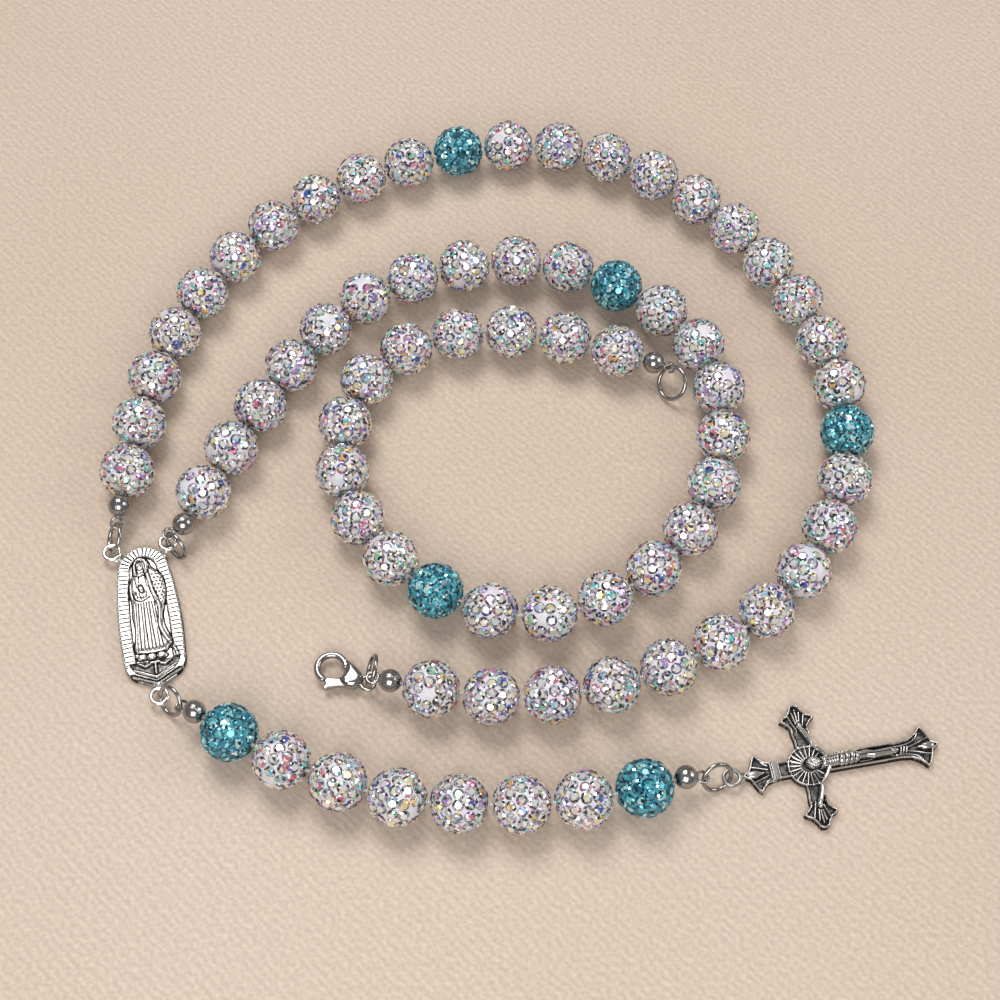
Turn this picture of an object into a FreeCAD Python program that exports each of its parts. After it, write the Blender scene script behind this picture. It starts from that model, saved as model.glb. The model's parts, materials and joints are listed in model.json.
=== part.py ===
import FreeCAD, Part
import math
import os
from FreeCAD import Placement, Rotation, Vector

# A beaded rosary laid out on a table: two three-decade strands that start at the
# two top eyelets of a centre medal, and a pendant strand with a crucifix that
# starts at its bottom eyelet.  Millimetres, +Z up, table at z = 0, origin at the
# centre of the medal's flat back.

# ---- beads -----------------------------------------------------------------
BEAD_D = 9.9             # clay ball set with crystals, over the crystals
BORE_D = 1.8             # drilled hole through a bead
BEADS_PER_DECADE = 10
PENDANT_BEADS = 8        # a loop bead, six small-prayer beads, a loop bead
STRAND_D = 0.6           # beading cord
STRAND_Z = BEAD_D / 2    # the cord runs through the middle of beads that lie flat
LOOP_GAP = 5.0           # from a loop bead's centre to the cut end of its cord
SPLICE = 0.15            # from there to the start of the next decade's cord

# ---- bead tips: hollow clamshell balls that hide the crimped cord end -------
TIP_D = 4.0
TIP_WALL = 0.4
TIP_HOLE_D = 1.0
TIP_TO_BEAD = 7.1        # ball centre to first bead centre
TIP_LOOP_R = 1.0         # middle of the loop's wire
TIP_LOOP_WIRE = 0.56
TIP_ARM = 3.1            # ball centre to loop centre
CRIMP_D = 1.8
CRIMP_LENGTH = 1.2
TIP_NECK_R = 0.4
TIP_NECK_IN = 1.5        # the neck starts inside the ball's wall
INNER_TIP_RISE = 2.6     # how far above the medal's eyelet the inner tip aims
CLASP_TIP_RISE = 2.8     # how far above the clasp's tail loop its tip aims

# ---- jump rings ------------------------------------------------------------
RING_R = 2.5             # middle of the wire
END_RING_R = 3.0
RING_WIRE = 0.75
RING_SWEEP = 357.0       # the rest is the cut in the ring
RING_ROLL = 35.0         # how far the rings lean from upright

# ---- centre medal ----------------------------------------------------------
MEDAL_LEAN = 12.0        # its top leans to the left
MEDAL_TOP = 13.6
MEDAL_HALF_WIDTH = 5.5
MEDAL_POINT = 13.6       # lower point, below the centre
MEDAL_THICK = 1.3
MEDAL_RIM = 0.4          # border above the field
MEDAL_FIGURE = 2.3       # top of the raised figure
EYELET_R = 1.4           # middle of an eyelet's rim
EYELET_WIRE = 0.76
EYELET_Z = 1.7           # eyelets stand clear so that a ring can pass under
EYELET_SIDE = 4.95
EYELET_HIGH = 13.3
EYELET_LOW = 15.7

# ---- crucifix --------------------------------------------------------------
CROSS_HEADING = 10.0     # the long arm points to the right and away
CROSS_TOP = 11.4         # crossing to the end of each arm
CROSS_SIDE = 11.0
CROSS_FOOT = 22.5
CROSS_HALF = 1.6         # half the width of a plain arm
CROSS_THICK = 1.3
CROSS_RIM = 0.4
CROSS_EYELET = 13.2      # crossing to eyelet
HALO_R = 3.6

# ---- lobster clasp ---------------------------------------------------------
CLASP_THICK = 2.6
CLASP_LOOP_R = 1.2
CLASP_LOOP_WIRE = 0.62
CLASP_BOW_R = 2.45       # middle of the hook's bow
CLASP_BOW_WIRE = 1.2
CLASP_BOW_FROM = -75.0   # the bow runs from its free tip round to the body
CLASP_BOW_TO = 150.0
CLASP_PIN_D = 0.7
CLASP_Z = 1.6
CLASP_HEADING = 158.0
CLASP_TAIL_X, CLASP_TAIL_Y = 38.5, -12.95
SLOT_HALF = 0.65         # half the height of the lever's slot
SLOT_DEEP = 2.0
LEVER_GAP = 0.12         # lever to each side of its slot
PIN_PLAY = 0.05
CLASP_RING_LEAN = 85.0   # side that each ring's centre lies on, as a heading
INNER_RING_LEAN = -45.0

# ---- cord routes, left to right as each cord is strung ----------------------
OUTER_1 = [(-6.5, 19.7), (-5, 36), (-1.5, 54), (8, 73), (24, 88.5), (40.5, 97), (57.5, 101.5)]
OUTER_2 = [(57.5, 101.5), (75, 102), (93, 94), (108, 80.5), (119, 62), (124, 46), (124, 30)]
OUTER_3 = [(124, 30), (120.5, 17), (111, 2), (95.5, -9.5), (77, -16), (59, -17.5), (42.5, -13.9)]
INNER_1 = [(5.2, 16), (12, 31), (21.5, 49), (34.5, 65.5), (52.5, 72.5), (71.5, 74), (87.5, 65)]
INNER_2 = [(87.5, 65), (96.5, 58), (101.5, 47), (102, 34), (98.5, 20), (88, 6), (73, -2),
           (57.5, -1.5), (45.5, 5.5)]
INNER_3 = [(45.5, 5.5), (36.5, 14.5), (32, 26.5), (32.5, 40), (39.5, 52), (54, 57.5),
           (72.5, 56.5), (89.5, 50)]
PENDANT = [(10, -19.5), (24, -28), (43, -35), (63, -36), (79, -34.5), (91.5, -31)]

UP = Vector(0, 0, 1)
PARTS = "parts"


def flat(degrees):
    """Horizontal unit vector at a heading, counted from +X towards +Y."""
    return Vector(math.cos(math.radians(degrees)), math.sin(math.radians(degrees)), 0)


def unit(vector):
    return Vector(vector) / vector.Length


def framed(x_axis, z_axis, position):
    """Placement whose local Z is z_axis and whose local X is nearest to x_axis."""
    z_dir = unit(z_axis)
    x_dir = unit(x_axis - z_dir * x_axis.dot(z_dir))
    return Placement(position, Rotation(x_dir, z_dir.cross(x_dir), z_dir, "ZXY"))


def placed(shape, placement):
    result = shape.copy()
    result.Placement = placement.multiply(result.Placement)
    return result


def joined(shapes):
    """One solid from overlapping pieces."""
    result = shapes[0]
    for shape in shapes[1:]:
        result = result.fuse(shape)
    return result.removeSplitter()


class Route:
    """Straight runs joined by tangent arcs, flat at one height."""

    REACH = 0.45         # share of the shorter run that an arc may take

    def __init__(self, points, height, start_cut=0.0):
        corners = [Vector(x, y, height) for x, y in points]
        first_run = unit(corners[1] - corners[0])
        corners[0] = corners[0] + first_run * start_cut
        self.pieces = []
        self.radii = []
        here = corners[0]
        for before, corner, after in zip(corners, corners[1:], corners[2:]):
            arriving = corner - before
            leaving = after - corner
            turn = arriving.getAngle(leaving)
            side = 1.0 if arriving.cross(leaving).z > 0 else -1.0
            tangent = self.REACH * min(arriving.Length, leaving.Length)
            radius = tangent / math.tan(turn / 2)
            arc_start = corner - unit(arriving) * tangent
            centre = arc_start + UP.cross(unit(arriving)) * side * radius
            self.pieces.append(("run", here, arc_start, (arc_start - here).Length))
            self.pieces.append(("arc", arc_start, centre, radius * turn, side, radius))
            self.radii.append(radius)
            here = corner + unit(leaving) * tangent
        self.pieces.append(("run", here, corners[-1], (corners[-1] - here).Length))
        self.length = sum(piece[3] for piece in self.pieces)

    def at(self, distance):
        """Point and unit direction at a distance along the route."""
        for piece in self.pieces:
            if distance <= piece[3] or piece is self.pieces[-1]:
                break
            distance -= piece[3]
        if piece[0] == "run":
            direction = unit(piece[2] - piece[1])
            return piece[1] + direction * distance, direction
        start, centre, side, radius = piece[1], piece[2], piece[4], piece[5]
        spoke = Rotation(UP, math.degrees(side * distance / radius)).multVec(start - centre)
        return centre + spoke, UP.cross(unit(spoke)) * side

    def wire(self):
        edges = []
        travelled = 0.0
        for piece in self.pieces:
            start = self.at(travelled)[0]
            end = self.at(travelled + piece[3])[0]
            if piece[0] == "run":
                edges.append(Part.LineSegment(start, end).toShape())
            else:
                middle = self.at(travelled + piece[3] / 2)[0]
                edges.append(Part.Arc(start, middle, end).toShape())
            travelled += piece[3]
        return Part.Wire(edges)

    def tube(self, diameter, name):
        start, direction = self.at(0)
        section = Part.Wire([Part.makeCircle(diameter / 2, start, direction)])
        solid = self.wire().makePipeShell([section], True, False)
        expected = math.pi * diameter ** 2 / 4 * self.length
        print(name, "length %.1f" % self.length, "volume ratio %.4f" % (solid.Volume / expected),
              "radii", [round(radius) for radius in self.radii])
        return solid


def bead(route, distance):
    """Ball with a drilled hole, centred on the chord that the cord makes in it."""
    half = BEAD_D / 2
    start = route.at(distance - half)[0]
    end = route.at(distance + half)[0]
    centre = (route.at(distance)[0] + (start + end) / 2) / 2
    axis = unit(end - start)
    ball = Part.makeSphere(half, centre, axis)
    bore = Part.makeCylinder(BORE_D / 2, BEAD_D + 2, centre - axis * (half + 1), axis)
    return ball.cut(bore), centre, axis


def strung(route, first, last, count):
    """Beads at an even pitch along a cord, with the spare length between them."""
    pitch = (route.length - first - last) / (count - 1)
    print("   pitch %.3f" % pitch)
    return [bead(route, first + pitch * index) for index in range(count)]


def torus(radius, wire, centre, axis):
    return Part.makeTorus(radius, wire / 2, centre, axis)


def bead_tip(ball, to_bead, to_loop):
    """Hollow ball with a cord hole, a short neck and a flat loop."""
    arm = unit(to_loop)
    shell = Part.makeSphere(TIP_D / 2, ball, arm)
    neck = Part.makeCylinder(TIP_NECK_R, TIP_ARM - TIP_LOOP_R - TIP_NECK_IN,
                             ball + arm * TIP_NECK_IN, arm)
    level = arm.cross(UP)
    loop = torus(TIP_LOOP_R, TIP_LOOP_WIRE, ball + arm * TIP_ARM, level.cross(arm))
    outside = joined([shell, neck, loop])
    hollow = Part.makeSphere(TIP_D / 2 - TIP_WALL, ball, arm)
    hole = Part.makeCylinder(TIP_HOLE_D / 2, TIP_D, ball, unit(to_bead))
    return outside.cut(hollow).cut(hole)


def crimp(ball, to_bead):
    """Crushed tube on the end of the cord, inside the bead tip."""
    body = Part.makeCylinder(CRIMP_D / 2, CRIMP_LENGTH, ball, to_bead)
    bore = Part.makeCylinder(STRAND_D / 2, CRIMP_LENGTH, ball, to_bead)
    return body.cut(bore)


def jump_ring(radius, first, second, towards):
    """Round wire ring through two holes; its centre leans towards one side."""
    chord = second - first
    half = min(chord.Length / 2, radius)
    across = unit(towards - unit(chord) * towards.dot(unit(chord)))
    centre = (first + second) / 2 + across * math.sqrt(radius ** 2 - half ** 2)
    ring = Part.makeTorus(radius, RING_WIRE / 2, Vector(), UP, -180, 180, RING_SWEEP)
    print("   ring slack %.2f" % max(0, chord.Length / 2 - radius),
          "lowest %.2f" % (centre.z - radius * math.sqrt(1 - unit(chord.cross(across)).z ** 2)
                           - RING_WIRE / 2))
    return placed(ring, framed(across, chord.cross(across), centre)), centre


def medal_outline(scale=1.0):
    """Rounded mandorla that ends in a shallow point, as a face at z = 0."""
    top = Vector(0, MEDAL_TOP, 0)
    shoulder = Vector(4.5, 9.2, 0)
    hip = Vector(5.3, -8.0, 0)
    corner = Vector(3.9, -11.6, 0)
    point = Vector(0, -MEDAL_POINT, 0)
    arcs = [(top, Vector(2.9, 12.4, 0), shoulder),
            (shoulder, Vector(MEDAL_HALF_WIDTH - 0.05, 0, 0), hip),
            (hip, Vector(5.0, -10.1, 0), corner)]
    edges = [Part.Arc(*arc).toShape() for arc in arcs]
    edges.append(Part.LineSegment(corner, point).toShape())
    right = Part.Wire(edges)
    left = right.mirror(Vector(), Vector(1, 0, 0))
    face = Part.Face(Part.Wire(Part.__sortEdges__(right.Edges + left.Edges)))
    face.scale(scale)
    return face


def medal():
    """Cast medal: plate, raised border, robed standing figure and three eyelets."""
    plate = medal_outline().extrude(UP * MEDAL_THICK)
    border = medal_outline().cut(medal_outline(0.86)).extrude(UP * (MEDAL_THICK + MEDAL_RIM))
    hem = Vector(0, -9.4, 0)
    neck = Vector(-0.4, 7.6, 0)
    robe = Part.makeCone(2.9, 1.3, (neck - hem).Length, hem, unit(neck - hem))
    head = Part.makeSphere(1.25, Vector(-0.7, 8.8, MEDAL_FIGURE - 1.25))
    hands = Part.makeSphere(0.9, Vector(-1.2, 4.2, MEDAL_FIGURE - 0.9))
    pedestal = Part.makeBox(6.4, 1.8, MEDAL_THICK + 0.6, Vector(-3.2, -11.2, 0))
    ceiling = Part.makeBox(12, 30, MEDAL_FIGURE, Vector(-6, -15, 0))
    figure = robe.common(ceiling)
    eyelets = []
    for x, y in eyelet_places():
        eyelets.append(torus(EYELET_R, EYELET_WIRE, Vector(x, y, EYELET_Z), UP))
    necks = [Part.makeBox(1.6, 1.6, 0.9, Vector(side * 3.55 - 0.8, 10.7, 0.9)) for side in (-1, 1)]
    necks.append(Part.makeBox(1.6, 1.6, 0.9, Vector(-0.8, -14.6, 0.9)))
    bores = [Part.makeCylinder(EYELET_R - EYELET_WIRE / 2, 4, Vector(x, y, 0))
             for x, y in eyelet_places()]
    blank = joined([plate, border, figure, head, hands, pedestal] + necks + eyelets)
    for bore in bores:
        blank = blank.cut(bore)
    return placed(blank.cut(under_table()), MEDAL_PLACE)


def eyelet_places():
    """Hole centres in the medal's own frame: top left, top right, bottom."""
    return [(-EYELET_SIDE, EYELET_HIGH), (EYELET_SIDE, EYELET_HIGH), (0, -EYELET_LOW)]


def under_table():
    """Everything just below the table, to trim rounded relief flat."""
    return Part.makeBox(60, 60, 5, Vector(-30, -30, -5))


def arm_corners(length, flare):
    """Outline of one arm along +X, ending in three points, up to the inner corner."""
    half = [Vector(length - 5.0, CROSS_HALF - 0.1, 0), Vector(length - 2.8, flare, 0),
            Vector(length - 1.9, flare - 1.3, 0)]
    other = [Vector(corner.x, -corner.y, 0) for corner in half]
    return other + [Vector(length, 0, 0)] + half[::-1] + [Vector(CROSS_HALF, CROSS_HALF, 0)]


def cross_outline():
    corners = []
    for length, flare, heading in ((CROSS_FOOT, 3.7, 0), (CROSS_SIDE, 3.0, 90),
                                   (CROSS_TOP, 3.5, 180), (CROSS_SIDE, 3.0, 270)):
        turn = Rotation(UP, heading)
        corners += [turn.multVec(corner) for corner in arm_corners(length, flare)]
    return Part.Face(Part.makePolygon(corners + corners[:1]))


def crucifix():
    """Cast cross with a raised rim, a halo disc, a figure and an eyelet."""
    plate = cross_outline().extrude(UP * CROSS_THICK)
    rim = cross_outline().extrude(UP * (CROSS_THICK + CROSS_RIM))
    inner = cross_outline().makeOffset2D(-0.45).extrude(UP * 4)
    halo = Part.makeCylinder(HALO_R, CROSS_THICK + 0.3)
    head = Part.makeSphere(0.95, Vector(-1.1, -0.2, 2.1))
    chest = Part.makeCone(1.25, 0.95, 4.0, Vector(0, 0, 1.7), Vector(1, 0, 0))
    hips = Part.makeCone(1.3, 0.8, 2.6, Vector(3.8, 0, 1.6), Vector(1, 0, 0))
    legs = Part.makeCone(0.95, 0.55, 6.6, Vector(6.0, 0, 1.6), Vector(1, 0, 0))
    arms = []
    for side in (-1, 1):
        reach = Vector(-1.4, side * 8.0, 0)
        arms.append(Part.makeCone(0.6, 0.42, reach.Length, Vector(0.6, 0, 1.7), unit(reach)))
    plaque = Part.makeBox(1.5, 4.0, 1.9, Vector(-6.6, -2.0, 0))
    eyelet = torus(1.35, 0.7, Vector(-CROSS_EYELET, 0, EYELET_Z), UP)
    neck = Part.makeBox(1.6, 1.3, 0.9, Vector(-CROSS_EYELET + 1.3, -0.65, 0.9))
    bore = Part.makeCylinder(1.0, 4, Vector(-CROSS_EYELET, 0, 0))
    body = joined([plate, rim.cut(inner), halo, head, chest, hips, legs, plaque, neck, eyelet] + arms)
    return placed(body.cut(bore).cut(under_table()), CROSS_PLACE)


# The clasp's own frame: origin at its tail loop, +X towards the bow, +Y on the
# side of the closed curve, the lever along -Y.
CLASP_BOW_X = 6.9
CLASP_PIVOT = Vector(3.2, -1.25, 0)


def clasp_hook():
    """Teardrop body, open bow and tail loop."""
    bow = Part.makeTorus(CLASP_BOW_R, CLASP_BOW_WIRE / 2, Vector(), UP, -180, 180,
                         CLASP_BOW_TO - CLASP_BOW_FROM)
    bow.rotate(Vector(), UP, CLASP_BOW_FROM)
    bow.translate(Vector(CLASP_BOW_X, 0.25, 0))
    outline = [Vector(0.9, 0.55, 0), Vector(3.4, 2.2, 0), Vector(5.6, 2.6, 0)]
    back = Part.Arc(outline[0], outline[1], outline[2]).toShape()
    inner = Part.Arc(outline[2], Vector(4.5, 0.6, 0), Vector(4.9, -1.1, 0)).toShape()
    foot = Part.Arc(Vector(4.9, -1.1, 0), Vector(3.2, -2.2, 0), Vector(0.9, -0.55, 0)).toShape()
    end = Part.LineSegment(Vector(0.9, -0.55, 0), outline[0]).toShape()
    body = Part.Face(Part.Wire([back, inner, foot, end])).extrude(UP * CLASP_THICK)
    body.translate(UP * (-CLASP_THICK / 2))
    slot = Part.makeBox(3.6, SLOT_DEEP, 2 * SLOT_HALF, Vector(1.9, -2.3, -SLOT_HALF))
    pin_hole = Part.makeCylinder(CLASP_PIN_D / 2, 6, CLASP_PIVOT - UP * 3)
    loop = torus(CLASP_LOOP_R, CLASP_LOOP_WIRE, Vector(), UP)
    hook = joined([body, bow, loop])
    return hook.cut(slot).cut(pin_hole)


def clasp_lever():
    """Gate that closes the bow, with a thumb nub outside and a tail in the slot."""
    thick = 2 * SLOT_HALF - 2 * LEVER_GAP
    points = [Vector(2.3, -0.75, 0), Vector(4.1, -0.85, 0), Vector(5.6, -1.35, 0),
              Vector(7.0, -1.75, 0), Vector(7.05, -2.6, 0), Vector(6.55, -2.95, 0),
              Vector(6.9, -3.75, 0), Vector(6.2, -4.0, 0), Vector(5.5, -3.2, 0),
              Vector(4.2, -2.45, 0), Vector(2.3, -1.85, 0)]
    plate = Part.Face(Part.makePolygon(points + points[:1])).extrude(UP * thick)
    plate.translate(UP * (-thick / 2))
    hole = Part.makeCylinder(CLASP_PIN_D / 2 + PIN_PLAY, 6, CLASP_PIVOT - UP * 3)
    return plate.cut(hole)


def clasp_pin():
    return Part.makeCylinder(CLASP_PIN_D / 2, CLASP_THICK, CLASP_PIVOT - UP * (CLASP_THICK / 2))


def clasp_spring():
    """Small bent wire spring behind the lever's tail."""
    return Part.makeTorus(0.22, 0.08, CLASP_PIVOT + Vector(-0.55, 0.85, 0), Vector(1, 0, 0))


MEDAL_PLACE = Placement(Vector(), Rotation(UP, MEDAL_LEAN))


def medal_point(index):
    x, y = eyelet_places()[index]
    return MEDAL_PLACE.multVec(Vector(x, y, EYELET_Z))


def leaning(chord, roll):
    """Side vector for a ring that stands over a chord and leans from upright."""
    across = unit(chord.cross(UP))
    upright = unit(across.cross(chord))
    angle = math.radians(roll)
    return upright * math.cos(angle) + across * math.sin(angle)


nodes = {}
notes = {}

# ---- cords and beads --------------------------------------------------------
decades = [(OUTER_1, "start"), (OUTER_2, "middle"), (OUTER_3, "end"),
           (INNER_1, "start"), (INNER_2, "middle"), (INNER_3, "end")]
routes = []
teal_count = 0
for number, (points, place) in enumerate(decades, 1):
    route = Route(points, STRAND_Z, 0 if place == "start" else SPLICE)
    routes.append(route)
    name = "strand_decade_%d" % number
    nodes[name] = route.tube(STRAND_D, name)
    first = TIP_TO_BEAD if place == "start" else LOOP_GAP
    last = TIP_TO_BEAD if place == "end" else LOOP_GAP
    count = BEADS_PER_DECADE + (0 if place == "end" else 1)
    beads = strung(route, first, last, count)
    nodes["beads_decade_%d" % number] = Part.makeCompound([item[0] for item in beads[:BEADS_PER_DECADE]])
    if place != "end":
        teal_count += 1
        nodes["teal_bead_%d" % teal_count], centre, axis = beads[-1]
        notes["teal_bead_%d" % teal_count] = (centre, axis)
pendant = Route(PENDANT, STRAND_Z)
nodes["strand_pendant"] = pendant.tube(STRAND_D, "strand_pendant")
beads = strung(pendant, TIP_TO_BEAD, TIP_TO_BEAD, PENDANT_BEADS)
for index, (solid, centre, axis) in enumerate(beads):
    name = "pendant_bead_%d" % index
    if index == 0:
        name = "teal_bead_5"
    if index == PENDANT_BEADS - 1:
        name = "teal_bead_6"
    nodes[name] = solid
    notes[name] = (centre, axis)

# ---- bead tips, crimps and rings --------------------------------------------
outer_start, outer_end = routes[0].at(0), routes[2].at(routes[2].length)
inner_start, inner_end = routes[3].at(0), routes[5].at(routes[5].length)
pendant_start, pendant_end = pendant.at(0), pendant.at(pendant.length)


def add_tip(name, ball, to_bead, loop_target):
    """Tip, crimp and the loop's hole centre, with the loop arm aimed at a point."""
    to_loop = unit(loop_target - ball)
    nodes["bead_tip_" + name] = bead_tip(ball, to_bead, to_loop)
    nodes["crimp_" + name] = crimp(ball, to_bead)
    return ball + to_loop * TIP_ARM


left_eye, right_eye, low_eye = medal_point(0), medal_point(1), medal_point(2)
outer_loop = add_tip("outer", outer_start[0], outer_start[1], left_eye)
ring_side = leaning(outer_loop - left_eye, RING_ROLL)
nodes["ring_outer"], notes["ring_outer"] = jump_ring(RING_R, left_eye, outer_loop, ring_side)

inner_loop = add_tip("inner", inner_start[0], inner_start[1], right_eye + UP * INNER_TIP_RISE)
nodes["ring_inner"], notes["ring_inner"] = jump_ring(RING_R, right_eye, inner_loop, flat(INNER_RING_LEAN))

pendant_loop = add_tip("pendant", pendant_start[0], pendant_start[1], low_eye)
ring_side = leaning(pendant_loop - low_eye, -RING_ROLL)
nodes["ring_pendant"], notes["ring_pendant"] = jump_ring(RING_R, low_eye, pendant_loop, ring_side)

CROSS_CENTRE = Vector(112.4, -27.6, 0)
CROSS_PLACE = Placement(CROSS_CENTRE, Rotation(UP, CROSS_HEADING))
cross_eye = CROSS_PLACE.multVec(Vector(-CROSS_EYELET, 0, EYELET_Z))
cross_loop = add_tip("crucifix", pendant_end[0], -pendant_end[1], cross_eye)
ring_side = leaning(cross_eye - cross_loop, -RING_ROLL)
nodes["ring_crucifix"], notes["ring_crucifix"] = jump_ring(RING_R, cross_loop, cross_eye, ring_side)

CLASP_TAIL = Vector(CLASP_TAIL_X, CLASP_TAIL_Y, CLASP_Z)
CLASP_PLACE = Placement(CLASP_TAIL, Rotation(UP, CLASP_HEADING).multiply(Rotation(Vector(1, 0, 0), 180)))
clasp_loop = add_tip("clasp", outer_end[0], -outer_end[1], CLASP_TAIL + UP * CLASP_TIP_RISE)
nodes["ring_clasp"], notes["ring_clasp"] = jump_ring(RING_R, clasp_loop, CLASP_TAIL, flat(CLASP_RING_LEAN))

end_loop = add_tip("end", inner_end[0], -inner_end[1], inner_end[0] + Vector(3.0, -0.6, -0.7))
END_RING_DROP = Vector(0.15, -0.92, -0.36)
end_far = end_loop + unit(END_RING_DROP) * (2 * END_RING_R)
nodes["ring_end"], notes["ring_end"] = jump_ring(END_RING_R, end_loop, end_far, Vector(0.7, 0, 0.7))

# ---- medal, crucifix and clasp ----------------------------------------------
nodes["medal"] = medal()
nodes["crucifix"] = crucifix()
nodes["clasp_body"] = placed(clasp_hook(), CLASP_PLACE)
nodes["clasp_lever"] = placed(clasp_lever(), CLASP_PLACE)
nodes["clasp_pin"] = placed(clasp_pin(), CLASP_PLACE)
nodes["clasp_spring"] = placed(clasp_spring(), CLASP_PLACE)

os.makedirs(PARTS, exist_ok=True)
for name, shape in nodes.items():
    shape.exportStep("%s/%s.step" % (PARTS, name))
    box = shape.BoundBox
    print(name, len(shape.Solids), "solids", "valid" if shape.isValid() else "INVALID",
          "z %.2f to %.2f" % (box.ZMin, box.ZMax))
for name, value in notes.items():
    print(name, value)
for label, point in (("left_eye", left_eye), ("right_eye", right_eye), ("low_eye", low_eye),
                     ("outer_loop", outer_loop), ("inner_loop", inner_loop),
                     ("pendant_loop", pendant_loop), ("cross_loop", cross_loop),
                     ("cross_eye", cross_eye), ("clasp_loop", clasp_loop),
                     ("clasp_tail", CLASP_TAIL), ("end_loop", end_loop),
                     ("lever_pivot", CLASP_PLACE.multVec(CLASP_PIVOT)),
                     ("bow_centre", CLASP_PLACE.multVec(Vector(CLASP_BOW_X, 0.25, 0))),
                     ("ring_end_centre", notes["ring_end"]),
                     ("ring_end_axis", unit((end_far - end_loop).cross(Vector(0.7, 0, 0.7))))):
    print(label, point)
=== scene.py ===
import json
import math
import random

import bmesh
import bpy
import numpy as np
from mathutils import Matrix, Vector


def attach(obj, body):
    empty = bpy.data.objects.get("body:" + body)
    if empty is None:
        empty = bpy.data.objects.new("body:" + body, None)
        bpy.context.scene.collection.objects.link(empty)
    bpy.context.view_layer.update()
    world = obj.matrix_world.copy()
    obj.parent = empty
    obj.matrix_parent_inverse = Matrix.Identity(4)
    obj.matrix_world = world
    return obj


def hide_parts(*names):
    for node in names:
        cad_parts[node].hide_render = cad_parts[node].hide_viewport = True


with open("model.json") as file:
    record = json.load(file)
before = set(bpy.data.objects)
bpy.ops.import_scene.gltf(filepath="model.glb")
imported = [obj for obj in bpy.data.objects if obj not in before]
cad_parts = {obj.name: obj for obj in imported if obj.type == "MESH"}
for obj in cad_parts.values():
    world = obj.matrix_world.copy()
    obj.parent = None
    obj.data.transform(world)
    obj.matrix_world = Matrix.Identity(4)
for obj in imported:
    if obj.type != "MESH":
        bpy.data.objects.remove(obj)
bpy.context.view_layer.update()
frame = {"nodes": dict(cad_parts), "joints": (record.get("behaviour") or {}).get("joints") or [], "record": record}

# A rosary of crystal-set ball beads with a centre medal, a crucifix, a lobster
# clasp and an end ring.  Metres; builders below work in millimetres and hand
# their points to mesh_object, which scales them.

MM = 0.001
JOINTS = {joint["name"]: joint for joint in frame["joints"]}
MOUNTS = {mount["name"]: mount for mount in frame["record"]["mounts"]}
UP = np.array([0.0, 0.0, 1.0])


def joint_point(name):
    """A joint's place, in millimetres."""
    return np.array(JOINTS[name]["pos_m"]) / MM


def mesh_points(mesh):
    """A mesh's vertices, in millimetres."""
    flat = np.empty(len(mesh.vertices) * 3)
    mesh.vertices.foreach_get("co", flat)
    return flat.reshape(-1, 3) / MM


def node_points(name):
    """The vertices of a CAD node, in millimetres."""
    return mesh_points(frame["nodes"][name].data)


def unit(vector):
    vector = np.asarray(vector, float)
    return vector / np.linalg.norm(vector)


def sphere_centre(points):
    """Centre of the sphere that fits the points best."""
    columns = np.column_stack([2 * points, np.ones(len(points))])
    return np.linalg.lstsq(columns, (points ** 2).sum(axis=1), rcond=None)[0][:3]


def axes_from(z_axis, x_hint):
    """Rotation matrix whose columns are local X, Y and Z."""
    z_axis = unit(z_axis)
    x_axis = unit(x_hint - z_axis * np.dot(x_hint, z_axis))
    return np.column_stack([x_axis, np.cross(z_axis, x_axis), z_axis])


def placer(middle, x_axis, y_axis, z_axis=UP):
    """A function that carries a piece's own points to their place in the frame."""
    def placed(points):
        points = np.atleast_2d(points)
        return (middle + np.outer(points[:, 0], x_axis) + np.outer(points[:, 1], y_axis)
                + np.outer(points[:, 2], z_axis))
    return placed


def circle(count, radius, height, start=0.0):
    """Points round local Z; start is in steps."""
    turns = [math.tau * (step + start) / count for step in range(count)]
    return [(radius * math.cos(turn), radius * math.sin(turn), height) for turn in turns]


def woven(rows, around, closed=True):
    """Quads of a net of closed rows; the last row joins the first if closed."""
    faces = []
    for row in range(rows if closed else rows - 1):
        first, after = row * around, (row + 1) % rows * around
        for step in range(around):
            beside = (step + 1) % around
            faces.append((first + step, after + step, after + beside, first + beside))
    return faces


def linked(name, data):
    """A new object in the scene."""
    obj = bpy.data.objects.new(name, data)
    bpy.context.scene.collection.objects.link(obj)
    return obj


def dress(obj, body, node):
    """A piece rides a body and stands in for a CAD node, which is hidden."""
    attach(obj, body)
    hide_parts(node)


# ---- camera -----------------------------------------------------------------
CAMERA_AT = (0.061, -0.1342, 0.2847)
CAMERA_DOWN = 61.0       # degrees below the horizon
CAMERA_LENS = 64.8

camera_data = bpy.data.cameras.new("camera")
camera_data.lens = CAMERA_LENS
camera_data.sensor_width = 36.0
camera_data.clip_start = 0.01
camera = linked("camera", camera_data)
camera.location = CAMERA_AT
camera.rotation_euler = (math.radians(90.0 - CAMERA_DOWN), 0.0, 0.0)
bpy.context.scene.camera = camera

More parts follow.
